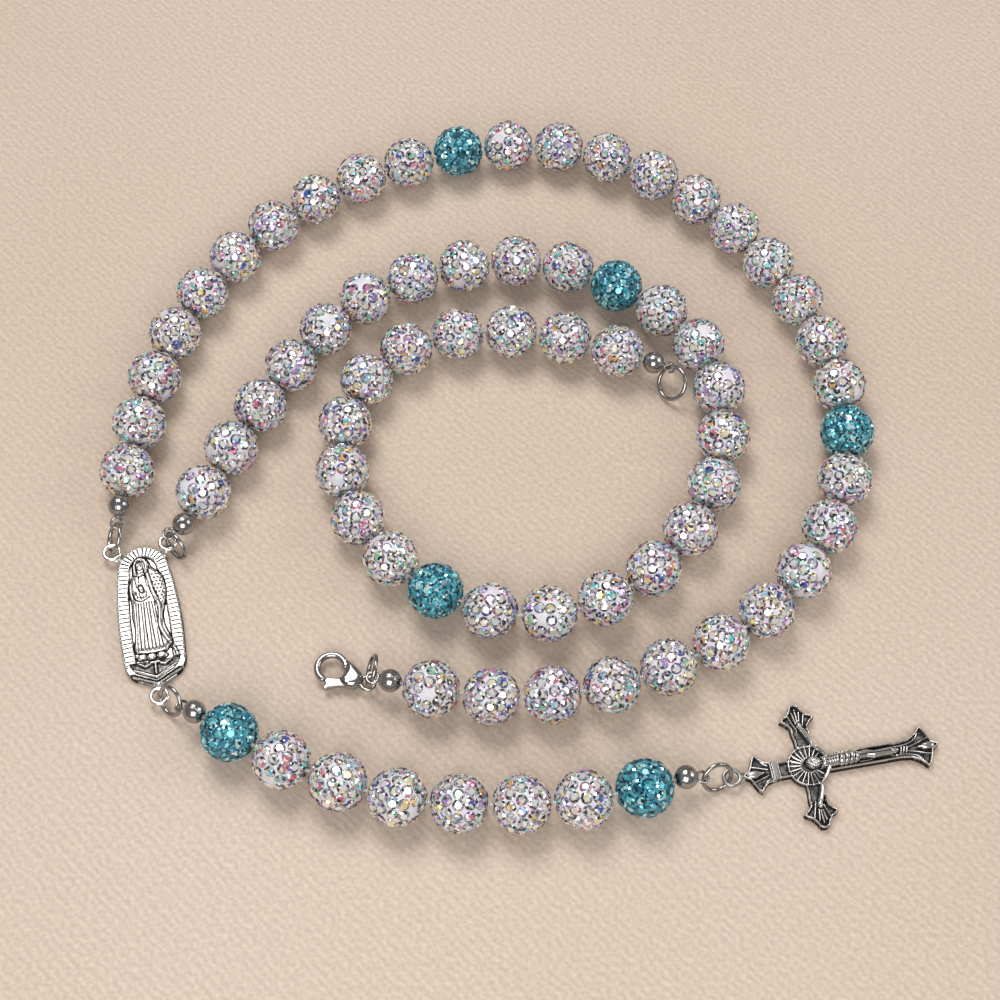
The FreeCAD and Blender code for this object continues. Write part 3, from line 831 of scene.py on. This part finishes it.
half = (arc_points((0, 13.6), (2.9, 12.4), (4.5, 9.2))
        + arc_points((4.5, 9.2), (5.45, 0), (5.3, -8))
        + arc_points((5.3, -8), (5.0, -10.1), (3.9, -11.6), 10) + [(3.9, -11.6)])
MEDAL_OUTLINE = half + [(0, -13.6)] + [(-x, y) for x, y in half[:0:-1]]
FIGURE = rounded([(-0.4, 11.5), (0.6, 11.2), (1.1, 10.3), (1.3, 9.3), (2.1, 8.6), (3.0, 7.5),
                  (3.4, 6.2), (3.5, 4.8), (3.4, 3.0), (2.8, 1.2), (2.3, -0.6), (2.5, -2.6),
                  (3.2, -4.6), (3.6, -6.2), (2.8, -6.5), (2.3, -7.5), (-2.9, -7.3), (-3.2, -5.8),
                  (-2.7, -3.6), (-2.6, -1.6), (-2.9, 0.2), (-2.6, 2.6), (-3.0, 4.8), (-2.8, 6.4),
                  (-2.2, 7.6), (-1.8, 8.7), (-1.8, 9.9), (-1.3, 11.0)])
MANTLE_EDGE = rounded([(0.5, 8.3), (0.8, 6.6), (1.1, 4.6), (1.7, 2.6), (2.1, 0.8), (1.9, -0.8),
                       (1.6, -2.4), (2.2, -4.4), (3.1, -6.0)], closed=False)
VEIL_EDGE = rounded([(-1.5, 8.2), (-1.6, 9.6), (-1.2, 10.7), (-0.4, 11.1), (0.4, 10.7), (0.7, 9.6),
                     (0.4, 8.4)], closed=False)
FACE_AT, FACE_SIZE, FACE_TILT = (-0.6, 9.65), (0.62, 0.86), 8.0
HEM_V = [(-3.7, -10.1), (0, -12.0), (3.7, -10.1)]
BEADED_V = [(-4.1, -11.05), (0, -13.05), (4.1, -11.05)]


def face_point(across, upward):
    turn = math.radians(FACE_TILT)
    return (FACE_AT[0] + across * math.cos(turn) - upward * math.sin(turn),
            FACE_AT[1] + across * math.sin(turn) + upward * math.cos(turn))


def medal_depth(x, y):
    return depth_in(x, y, MEDAL_OUTLINE)[0]


def calm_face(relief):
    """A plain oval face: brow, closed eyes, nose and mouth at even thirds."""
    def feature(first, last):
        return relief.line([face_point(*first), face_point(*last)])

    oval = ellipse(relief.x, relief.y, FACE_AT, FACE_SIZE, FACE_TILT)
    skin = np.maximum(relief.height - 0.1, 1.62 + 0.42 * dome(oval, 0.5))
    relief.height = np.where(oval > 0, skin, relief.height)
    relief.ridge(oval, -0.30, 0.09)
    for side in (-1, 1):
        relief.ridge(feature((side * 0.14, 0.04), (side * 0.36, 0.02)), -0.14, 0.06)
        relief.ridge(feature((side * 0.10, 0.22), (side * 0.38, 0.18)), 0.06, 0.07)
    relief.ridge(feature((0, 0.16), (0, -0.20)), 0.13, 0.07)
    relief.ridge(feature((-0.13, -0.42), (0.13, -0.42)), -0.12, 0.055)


def medal_height(x, y):
    depth, along = depth_in(x, y, MEDAL_OUTLINE)
    relief = Relief(x, y, MEDAL_FIELD)
    # rays of the border, between a plain rim and the field
    border = np.clip((depth - 0.22) / 0.1, 0, 1) * np.clip((2.05 - depth) / 0.2, 0, 1)
    border = border * np.clip((y + 9.6) / 0.4, 0, 1)
    rib = np.abs((along / RIB_PITCH) % 1.0 - 0.5) * RIB_PITCH
    relief.height += 0.30 * np.clip((2.1 - depth) / 0.2, 0, 1)
    relief.height += border * (0.06 - 0.26 * near(rib, 0.11))
    relief.ridge(depth - 2.15, -0.16, 0.10, np.clip((y + 9.0) / 0.4, 0, 1))
    # robed figure
    figure = depth_in(x, y, FIGURE)[0]
    relief.height = np.where(figure > 0, 1.42 + 0.50 * dome(figure, 1.3), relief.height)
    relief.ridge(figure, -0.34, 0.11)
    mantle = relief.line(MANTLE_EDGE)
    relief.ridge(mantle, 0.16, 0.22)
    relief.ridge(mantle - 0.36, -0.30, 0.09, figure > 0)
    for fold in range(8):
        top, foot = (-2.0 + 0.46 * fold, 2.3), (-2.6 + 0.64 * fold, -6.7)
        middle = ((top[0] + foot[0]) / 2 + 0.12 * (-1) ** fold, -2.2)
        relief.ridge(relief.line([top, middle, foot]), -0.30 if fold % 2 else -0.18, 0.10)
    # stars of the mantle
    for row in range(8):
        for place in range(4):
            star_x, star_y = 1.45 + 0.62 * place + 0.3 * (row % 2), 7.6 - 0.72 * row
            if depth_in(np.array([[star_x]]), np.array([[star_y]]), FIGURE)[0][0, 0] > 0.3:
                relief.ridge(np.hypot(x - star_x, y - star_y), -0.26, 0.17)
    # sleeves and joined hands
    relief.mound((-0.95, 3.9), (1.35, 1.0), 1.65, 0.42, 0.7, 12)
    under_sleeve = [(-2.3, 4.6), (-2.1, 3.2), (-0.9, 2.6), (0.5, 3.3)]
    relief.ridge(relief.line(under_sleeve, True), -0.42, 0.15)
    hands = relief.mound((-0.75, 5.05), (0.42, 0.85), 1.75, 0.45, 0.35, 18)
    relief.ridge(hands, -0.34, 0.10)
    relief.ridge(relief.line([(-0.98, 5.7), (-0.62, 4.4)]), -0.16, 0.06)
    for cuff in ([(-1.9, 4.7), (-1.5, 3.5)], [(-1.2, 4.3), (-0.9, 3.1)], [(0.1, 4.5), (-0.1, 3.3)],
                 [(-2.3, 7.3), (-2.4, 5.0)], [(-1.7, 7.6), (-1.5, 5.4)], [(0.1, 7.7), (0.3, 5.6)],
                 [(-0.9, 7.5), (-1.0, 6.4)]):
        relief.ridge(relief.line(cuff), -0.28, 0.09)
    collar = relief.line([(-1.4, 8.0), (-0.7, 7.7), (0.2, 8.1)], True)
    relief.ridge(collar, 0.18, 0.16)
    relief.ridge(collar - 0.32, -0.22, 0.09)
    # veil and face
    veil = relief.line(VEIL_EDGE)
    relief.ridge(veil, 0.22, 0.2)
    relief.ridge(veil - 0.36, -0.34, 0.11)
    calm_face(relief)
    # cloud, scrolls and the stepped foot
    for place in ((-2.0, -7.9), (-0.4, -8.0), (1.3, -8.0)):
        relief.ridge(relief.mound(place, (0.95, 0.55), 1.5, 0.42, 0.4), -0.34, 0.10)
    foot = (y < FOOT_TOP) & (depth > 1.0)
    relief.height = np.where(foot, np.minimum(relief.height, FOOT_FIELD), relief.height)
    for line, wide in (([(-0.8, -9.1), (0.8, -9.1)], 0.18), ([(0, -9.1), (0, -11.2)], 0.2),
                       ([(-2.9, -8.9), (-1.7, -9.7), (-0.9, -9.4)], 0.15),
                       ([(2.9, -8.9), (1.7, -9.7), (0.9, -9.4)], 0.15)):
        relief.cover(FOOT_FIELD + 0.6 * near(relief.line(line), wide))
    for wing in ([(2.9, -6.6), (3.6, -7.6), (3.8, -9.0)], [(3.4, -6.3), (4.1, -7.4), (4.3, -8.8)]):
        relief.ridge(relief.line(wing, True), -0.30, 0.11)
    hem = relief.line(HEM_V)
    relief.cover(1.0 + 0.85 * near(hem, 0.30))
    beaded, run = from_line(x, y, BEADED_V)
    bead = np.hypot(beaded, ((run / BEADED_PITCH) % 1.0 - 0.5) * BEADED_PITCH)
    beads = (beaded < 0.42) & (hem > 0.42)
    relief.height = np.where(beads, 1.1 + 0.5 * near(bead, 0.17), relief.height)
    return relief.height - 0.30 * (1 - dome(depth, 0.24))


on_medal = placer(MEDAL_MID, MEDAL_X, MEDAL_Y)
medal_pieces = [cast_piece("medal_relief", (-5.8, -13.9, 5.8, 13.9), CAST_STEP, medal_depth,
                           medal_height, on_medal, BRIGHT_SILVER, 1.2)]
for label, place in (("left", LEFT_EYE), ("right", RIGHT_EYE), ("low", LOW_EYE)):
    medal_pieces.append(ring_mesh("medal_eyelet_" + label, place, UP, EYELET_R, EYELET_WIRE,
                                  BRIGHT_SILVER, 0.1))
for label, root, tip in (("left", (-3.3, 10.9), (-4.4, 12.25)),
                         ("right", (3.3, 10.9), (4.4, 12.25)),
                         ("low", (0, -12.9), (0, -14.5))):
    ends = on_medal(np.array([[*root, 1.1], [*tip, 1.45]]))
    medal_pieces.append(strut("medal_neck_" + label, *ends, 1.5, 0.75, BRIGHT_SILVER, 0.15))
for piece in medal_pieces:
    dress(piece, "medal", "medal")

# ---- crucifix ---------------------------------------------------------------
CROSS_EYELET = 13.2
HEAD_AT = (0.9, 0.2)
CROSS_EYE_R, CROSS_EYE_WIRE = 1.35, 0.7
HALO_R = 3.6
CROSS_FOOT, CROSS_SIDE, CROSS_TOP = 22.5, 11.0, 11.4
CROSS_FIELD, DISC_FIELD = 0.95, 1.15
CROSS_POINTS = node_points("crucifix")
CROSS_POINTS[:, 2] = 0.0
FOOT_TIP = CROSS_POINTS[np.argmax(np.linalg.norm(CROSS_POINTS - joint_point("crucifix_lift"),
                                                 axis=1))]
EYELET_END = CROSS_POINTS[np.argmax(np.linalg.norm(CROSS_POINTS - FOOT_TIP, axis=1))]
CROSS_X = unit(FOOT_TIP - EYELET_END)
CROSS_Y = np.cross(UP, CROSS_X)
CROSS_MID = FOOT_TIP - CROSS_X * CROSS_FOOT


def back_from(length, places):
    """Points given by how far they are back from an arm's tip, and how far across."""
    return [(length - along, across) for along, across in places]


def arm_edge(length, flare, neck, lobed):
    """One side of an arm's outline, from its pointed or lobed tip to the inner corner."""
    tip = [(0.1, 0.5), (0.45, 0.9), (1.0, 1.1)] if lobed else [(0.55, 0.42), (1.25, 0.85)]
    back = [(0, 0.0), *tip, (1.85, flare - 1.25), (2.2, flare - 0.55), (2.75, flare),
            (3.3, flare - 0.75), (4.1, flare - 1.45), (5.2, neck + 0.12), (6.6, neck - 0.08)]
    return back_from(length, back) + [(neck + 0.2, neck)]


def turned(points, heading):
    turn = math.radians(heading)
    return [(x * math.cos(turn) - y * math.sin(turn), x * math.sin(turn) + y * math.cos(turn))
            for x, y in points]


CROSS_OUTLINE = []
SIDE_HEADINGS = (90, 270)
ARMS = ((CROSS_FOOT, 3.7, 1.55, 0), (CROSS_SIDE, 3.0, 1.45, 90), (CROSS_TOP, 3.4, 1.5, 180),
        (CROSS_SIDE, 3.0, 1.45, 270))
for length, flare, neck, heading in ARMS:
    edge = arm_edge(length, flare, neck, heading in SIDE_HEADINGS)
    CROSS_OUTLINE += turned([(x, -y) for x, y in edge[:0:-1]] + edge, heading)


def cross_depth(x, y):
    return np.maximum(depth_in(x, y, CROSS_OUTLINE)[0], HALO_R - np.hypot(x, y))


def arm_relief(x, y, length, flare, heading):
    """Leaf ridges and the drop or fan in an arm's flared end: height above the field."""
    turn = math.radians(heading)
    u = x * math.cos(turn) + y * math.sin(turn)
    v = np.abs(y * math.cos(turn) - x * math.sin(turn))
    relief = Relief(u, v, 0.0)
    leaf = [(7.5, 0.75), (5.6, 0.85), (4.3, 1.25), (3.5, 1.9), (3.0, flare - 0.55)]
    inner = [(6.4, 0.15), (4.6, 0.45), (2.7, 1.15), (1.9, 1.35)]
    relief.cover(0.42 * near(relief.line(back_from(length, leaf), True), 0.17))
    relief.cover(0.38 * near(relief.line(back_from(length, inner), True), 0.16))
    if heading in SIDE_HEADINGS:
        for petal in ([(4.6, 0.0), (1.0, 0.0)], [(4.2, 0.12), (1.5, 0.62)]):
            relief.cover(0.55 * near(relief.line(back_from(length, petal)), 0.20))
        return np.where(u > 6.2, relief.height, 0)
    wide = np.clip((u - (length - 4.3)) / 2.6, 0.02, 1) * 0.72
    drop = ellipse(u, v, (length - 2.0, 0), (1.25, 0.70))
    drop = np.maximum(drop, np.where((u > length - 4.3) & (u < length - 2.0), wide - v, -1))
    relief.cover(0.25 + 0.55 * dome(drop, 0.5), drop > 0)
    relief.ridge(drop, -0.15, 0.08)
    return np.where(u > (13.0 if length > 20 else 6.8), relief.height, 0)


def cross_height(x, y):
    outline = depth_in(x, y, CROSS_OUTLINE)[0]
    radius = np.hypot(x, y)
    relief = Relief(x, y, CROSS_FIELD)
    for length, flare, neck, heading in ARMS:
        relief.height += arm_relief(x, y, length, flare, heading)
    rim = 0.72 * near(outline - 0.2, 0.17) * (radius > HALO_R - 0.1)
    relief.cover(CROSS_FIELD + rim)
    # twin lines down the shaft
    shaft = np.where((x > 3) & (x < 15.5), np.abs(np.abs(y) - 0.78), 9)
    relief.cover(CROSS_FIELD + 0.36 * near(shaft, 0.12))
    # rayed disc behind the head
    ray = np.abs((np.arctan2(y, x) / math.tau * 22) % 1.0 - 0.5) / 22 * math.tau * radius
    rays = 0.36 * near(ray, 0.13) * np.clip((radius - 1.0) / 0.3, 0, 1)
    disc = np.maximum(DISC_FIELD + rays, DISC_FIELD + 0.34 * near(radius - HALO_R + 0.2, 0.15))
    relief.height = np.where(radius < HALO_R, disc, relief.height)
    # blank title strip
    strip = np.minimum(0.75 - np.abs(x + 5.8), 1.72 - np.abs(y))
    relief.height = np.where(strip > 0, 1.62 - 0.30 * near(strip - 0.22, 0.07), relief.height)
    # figure: arms, body, cloth and legs
    for side in (-1, 1):
        arm = rounded([(3.3, side * 0.9), (2.5, side * 2.1), (1.3, side * 3.9), (0.75, side * 5.4),
                       (0.25, side * 6.5)], closed=False)
        relief.limb(arm, 0.46, 2.15, 1.2)
        hand = relief.mound((0.1, side * 7.0), (0.5, 0.68), 1.3, 0.7, 0.4)
        relief.ridge(hand, -0.25, 0.08, np.abs(y) > 6.4)
    relief.limb([(2.6, 0.05), (3.7, 0.1), (4.9, 0.15)], 1.12, 2.65, 1.3)
    for rib in range(4):
        place = 3.1 + 0.45 * rib
        mark = [(place + 0.25, -0.75), (place, 0.05), (place + 0.25, 0.85)]
        relief.ridge(relief.line(mark), -0.20, 0.10)
    relief.ridge(relief.line([(2.5, 0.05), (5.0, 0.15)]), -0.24, 0.09)
    relief.limb([(7.4, 0.1), (9.9, 0.3), (11.2, -0.05), (14.0, 0.05)], 0.76, 2.3, 1.1)
    relief.ridge(relief.line([(8.2, 0.15), (11.0, 0.1), (14.1, 0.05)]), -0.34, 0.10)
    relief.limb([(5.6, 0.1), (7.7, 0.15)], 1.15, 2.6, 1.4)
    for fold in ([(4.9, -1.0), (5.3, 1.0)], [(5.8, -1.1), (6.2, 0.2), (5.9, 1.2)],
                 [(6.6, -1.1), (7.1, 0.4), (6.8, 1.2)], [(7.6, -0.9), (8.1, 0.9)],
                 [(6.2, 1.15), (8.4, 1.3)]):
        relief.ridge(relief.line(fold), -0.30, 0.12)
    relief.mound((14.7, 0.05), (0.8, 0.46), 1.3, 0.6, 0.3)
    for knot in range(3):
        band = relief.line([(15.7 + 0.5 * knot, -0.42), (16.0 + 0.5 * knot, 0.42)])
        relief.cover(1.0 + 0.6 * near(band, 0.19))
    # head bowed to one side: hair, then closed eyes, brows, nose and mouth at even thirds
    head = relief.mound(HEAD_AT, (1.35, 1.0), 1.7, 1.15, 0.9, -12)
    relief.ridge(head, -0.40, 0.13)
    face = ellipse(x, y, (HEAD_AT[0] + 0.1, HEAD_AT[1]), (0.95, 0.62), -12)
    around = np.arctan2(y - HEAD_AT[1], x - HEAD_AT[0])
    strand = np.abs((around / math.tau * 18) % 1.0 - 0.5)
    relief.ridge(strand, -0.14, 0.22, (head > 0.05) & (face < -0.05))
    relief.ridge(face, -0.24, 0.09)

    def feature(first, last):
        """Distance from a line between two places on the face."""
        return relief.line([(HEAD_AT[0] + along, HEAD_AT[1] + across)
                            for along, across in (first, last)])

    for side in (-1, 1):
        relief.ridge(feature((0, side * 0.14), (0.02, side * 0.40)), -0.14, 0.06)
        relief.ridge(feature((-0.20, side * 0.12), (-0.17, side * 0.42)), 0.06, 0.07)
    relief.ridge(feature((-0.10, 0), (0.42, 0)), 0.12, 0.08)
    relief.ridge(feature((0.64, -0.15), (0.64, 0.15)), -0.12, 0.06)
    return relief.height - 0.25 * (1 - dome(cross_depth(x, y), 0.2))


on_cross = placer(CROSS_MID, CROSS_X, CROSS_Y)
crucifix = cast_piece("crucifix_relief", (-11.8, -11.4, 22.9, 11.4), CAST_STEP, cross_depth,
                      cross_height, on_cross, ANTIQUE_SILVER, 1.3)
CROSS_EYE = on_cross(np.array([-CROSS_EYELET, 0.0, EYELET_Z]))[0]
eyelet = ring_mesh("crucifix_eyelet", CROSS_EYE, UP, CROSS_EYE_R, CROSS_EYE_WIRE, ANTIQUE_SILVER,
                   0.35)
ends = on_cross(np.array([[-11.0, 0.0, 1.1], [-12.1, 0.0, 1.5]]))
neck = strut("crucifix_neck", *ends, 1.3, 0.7, ANTIQUE_SILVER, 0.4)
for piece in (crucifix, eyelet, neck):
    dress(piece, "crucifix", "crucifix")

# ---- lobster clasp ----------------------------------------------------------
BOW_AT = (6.9, 0.25)
BOW_R, BOW_WIRE = 2.45, 1.2
BOW_FROM, BOW_TO = -75.0, 150.0
BOW_STEPS = 40
CLASP_HALF = 1.3
CLASP_TAIL = joint_point("clasp_lift")
BOW_CENTRE = np.array(MOUNTS["clasp_hook"]["pos_m"]) / MM
to_bow = BOW_CENTRE - CLASP_TAIL
across_turn = math.atan2(BOW_AT[1], BOW_AT[0])
# the clasp lies on its back: its +Y side is turned over
heading = math.atan2(to_bow[1], to_bow[0]) + across_turn
CLASP_X = np.array([math.cos(heading), math.sin(heading), 0.0])
CLASP_Y = np.array([math.sin(heading), -math.cos(heading), 0.0])

on_clasp = placer(CLASP_TAIL, CLASP_X, CLASP_Y, -UP)

CLASP_BODY = (arc_points((0.9, 0.6), (3.4, 2.2), (5.6, 2.6)) + arc_points((5.6, 2.6), (4.5, 0.6),
              (4.9, -1.1)) + arc_points((4.9, -1.1), (3.2, -2.2), (0.9, -0.6)) + [(0.9, -0.6)])


def bow_gap(x, y):
    """Distance from the middle of the bow's wire."""
    line = []
    for step in range(BOW_STEPS + 1):
        turn = math.radians(BOW_FROM + (BOW_TO - BOW_FROM) * step / BOW_STEPS)
        line.append((BOW_AT[0] + BOW_R * math.cos(turn), BOW_AT[1] + BOW_R * math.sin(turn)))
    return from_line(x, y, line)[0]


def pillow(name, box, step, depth_of, height_of, material):
    """Closed shape, rounded alike above and below its middle plane."""
    grid = Grid(box, step, depth_of)
    height = np.where(grid.depth <= 0, 0.0, height_of(grid.x, grid.y))
    top = grid.points(height)
    rim = np.zeros(grid.count, bool)
    rim[np.unique(grid.edges)] = True
    top[rim, 2] = 0.0
    under = np.arange(grid.count)
    under[~rim] = grid.count + np.arange((~rim).sum())
    low = top[~rim] * np.array([1, 1, -1])
    faces = [tuple(quad) for quad in grid.quads.tolist()]
    faces += [tuple(quad)[::-1] for quad in under[grid.quads].tolist()]
    return mesh_object(name, on_clasp(np.vstack([top, low])), faces, [material], smooth=True)


def hook_depth(x, y):
    return np.maximum(depth_in(x, y, CLASP_BODY)[0], BOW_WIRE / 2 - bow_gap(x, y))


def hook_height(x, y):
    body = CLASP_HALF * dome(depth_in(x, y, CLASP_BODY)[0], 1.15)
    bow = BOW_WIRE / 2 * dome(BOW_WIRE / 2 - bow_gap(x, y), BOW_WIRE / 2)
    return np.maximum(body, bow)


LEVER = rounded([(2.3, -0.75), (4.1, -0.85), (5.6, -1.35), (7.0, -1.75), (7.05, -2.6),
                 (6.55, -2.95), (6.9, -3.75), (6.2, -4.0), (5.5, -3.2), (4.2, -2.45),
                 (2.3, -1.85)])


def lever_depth(x, y):
    return depth_in(x, y, LEVER)[0]


def lever_height(x, y):
    return 0.53 * dome(lever_depth(x, y), 0.3)


def carve(obj, points, faces):
    """Cut a closed shape, given in the clasp's own frame, out of a piece."""
    tool = mesh_object("cutter", on_clasp(np.array(points)), faces, [])
    modifier = obj.modifiers.new("cut", "BOOLEAN")
    modifier.operation = "DIFFERENCE"
    modifier.solver = "EXACT"
    modifier.object = tool
    graph = bpy.context.evaluated_depsgraph_get()
    mesh = bpy.data.meshes.new_from_object(obj.evaluated_get(graph))
    obj.modifiers.clear()
    obj.data = mesh
    bpy.data.objects.remove(tool)


hook = pillow("clasp_hook", (0.5, -2.9, 10.2, 3.6), 0.07, hook_depth, hook_height, DARK_STEEL)
slot_box = [(x, y, z) for z in (-0.65, 0.65) for y in (-2.6, -0.3) for x in (1.9, 5.5)]
carve(hook, slot_box, [(0, 1, 3, 2), (4, 6, 7, 5), (0, 4, 5, 1), (2, 3, 7, 6), (0, 2, 6, 4),
                       (1, 5, 7, 3)])
lever = pillow("clasp_gate", (1.9, -4.2, 7.4, -0.5), 0.06, lever_depth, lever_height, DARK_STEEL)
tail = ring_mesh("clasp_tail_loop", CLASP_TAIL, UP, 1.2, 0.62, DARK_STEEL, 0.3)
for piece, body, node in ((hook, "clasp", "clasp_body"), (tail, "clasp", "clasp_body"),
                          (lever, "lever", "clasp_lever")):
    dress(piece, body, node)

# ---- bead tips --------------------------------------------------------------
TIP_R = 2.0
TIP_ARM = 3.1
TIP_LOOP_R, TIP_LOOP_WIRE = 1.0, 0.50
SEAM_DEPTH, SEAM_WIDE = 0.11, 0.022    # mm, and radians of latitude


def tip_ball(name, centre, side):
    """Hollow clamshell ball: two cups that meet in a fine seam."""
    axes = axes_from(side, UP)
    polars = ([math.pi * row / 40 for row in range(1, 20)]
              + [math.pi / 2 + offset for offset in (-0.045, -0.028, 0.0, 0.028, 0.045)]
              + [math.pi * row / 40 for row in range(21, 40)])
    around = 56
    vertices = [(0, 0, TIP_R)]
    for polar in polars:
        reach = TIP_R - SEAM_DEPTH * math.exp(-((polar - math.pi / 2) / SEAM_WIDE) ** 2)
        vertices += circle(around, reach * math.sin(polar), reach * math.cos(polar))
    vertices.append((0, 0, -TIP_R))
    last = len(vertices) - 1
    faces = []
    for step in range(around):
        beside = (step + 1) % around
        faces.append((0, 1 + step, 1 + beside))
        for row in range(len(polars) - 1):
            start = 1 + row * around
            faces.append((start + step, start + around + step, start + around + beside,
                          start + beside))
        start = 1 + (len(polars) - 1) * around
        faces.append((start + step, last, start + beside))
    points = np.array(vertices) @ axes.T + centre
    return mesh_object(name, points, faces, [DARK_STEEL], smooth=True)


# Each tip's body, the end of its cord, and a joint that its arm points at.
TIP_ENDS = {"outer": ("decade_1", 0, "decade_1_lift"), "inner": ("decade_4", 0, "decade_4_lift"),
            "pendant": ("pendant", 0, "pendant_ring_turn"),
            "clasp": ("decade_3", -1, "clasp_ring_turn"),
            "end": ("decade_6", -1, "end_ring_swing"),
            "crucifix": ("pendant", -1, "crucifix_ring_turn")}
for label, (body, end, aim) in TIP_ENDS.items():
    node = "bead_tip_" + label
    ball = lines[body][end]
    arm = unit(joint_point(aim) - ball)
    loop_at = ball + arm * TIP_ARM
    inward = unit(along_line(lines[body] if end == 0 else lines[body][::-1], 3.0) - ball)
    level = unit(np.cross(arm, UP))
    pieces = [tip_ball("tip_ball_" + label, ball, level),
              ring_mesh("tip_loop_" + label, loop_at, np.cross(level, arm), TIP_LOOP_R,
                        TIP_LOOP_WIRE, DARK_STEEL, 0.3),
              ring_mesh("tip_collar_" + label, ball + inward * 1.95, inward, 0.48, 0.22,
                        DARK_STEEL, 0.3, segments=36),
              strut("tip_neck_" + label, ball + arm * 1.85, ball + arm * 2.25, 0.95, 0.7,
                    DARK_STEEL, 0.3)]
    for piece in pieces:
        dress(piece, body, node)

for name, node in frame["nodes"].items():
    if name.startswith(("ring_", "crimp_", "clasp_pin", "clasp_spring")):
        node.data.materials.clear()
        node.data.materials.append(DARK_STEEL)

# ---- floor and light --------------------------------------------------------
floor_mesh = bpy.data.meshes.new("floor")
floor_mesh.from_pydata([(-1.5, -1.5, 0), (1.6, -1.5, 0), (1.6, 1.6, 0), (-1.5, 1.6, 0)], [],
                       [(0, 1, 2, 3)])
floor = linked("floor", floor_mesh)
satin = Surface("pale_satin", Roughness=0.62)
# Painted shade of satin folds: broad soft noise darkens and lightens the floor's colour.
fold = satin.noise(6.0, 2.0)
thread_rows = satin.texture("TexWave", Scale=330.0, Distortion=5.0, Detail=3.0)
thread_rows.bands_direction = "DIAGONAL"
# Painted sparkle of the satin's sheen: fine specks multiplied into the floor's colour.
speckle = satin.noise(1300.0)
satin_with_painted_fold_shade = satin.ramp(fold, [(0.3, (0.610, 0.492, 0.400)), (0.7, (0.665, 0.550, 0.460))])
rows = thread_rows.outputs["Fac"]
fine = satin.ramp(rows, [(0.1, (0.93, 0.92, 0.91)), (0.9, WHITE)])
glint = satin.ramp(speckle, [(0.38, (0.84, 0.83, 0.82)), (0.66, WHITE)])
satin.colour(satin.mix(1.0, satin.mix(1.0, satin_with_painted_fold_shade, fine, "MULTIPLY"), glint, "MULTIPLY"))
satin.bump(rows, 0.15, 0.0002)
floor_mesh.materials.append(satin.material)


def area_light(name, place, target, size, power, colour):
    data = bpy.data.lights.new(name, "AREA")
    data.size = size
    data.energy = power
    data.color = colour
    obj = linked(name, data)
    obj.location = place
    aim = Vector(target) - Vector(place)
    obj.rotation_euler = aim.to_track_quat("-Z", "Y").to_euler()


CENTRE = (0.06, 0.03, 0.0)
FRONT = (0.06, -0.12, 0.0)
area_light("key", (-0.10, 0.45, 0.80), CENTRE, 0.45, 5.0, (1.0, 0.97, 0.93))
area_light("fill", (0.0, -0.42, 0.40), FRONT, 0.40, 2.1, (1.0, 0.98, 0.96))
area_light("rim", (0.75, 0.10, 0.50), CENTRE, 0.40, 1.6, (1.0, 0.98, 0.95))
world = bpy.data.worlds.new("studio")
world.use_nodes = True
background = world.node_tree.nodes["Background"]
background.inputs["Color"].default_value = (0.86, 0.85, 0.86, 1.0)
background.inputs["Strength"].default_value = 0.33
bpy.context.scene.world = world
bpy.context.scene.view_settings.view_transform = "Standard"

bpy.context.view_layer.update()
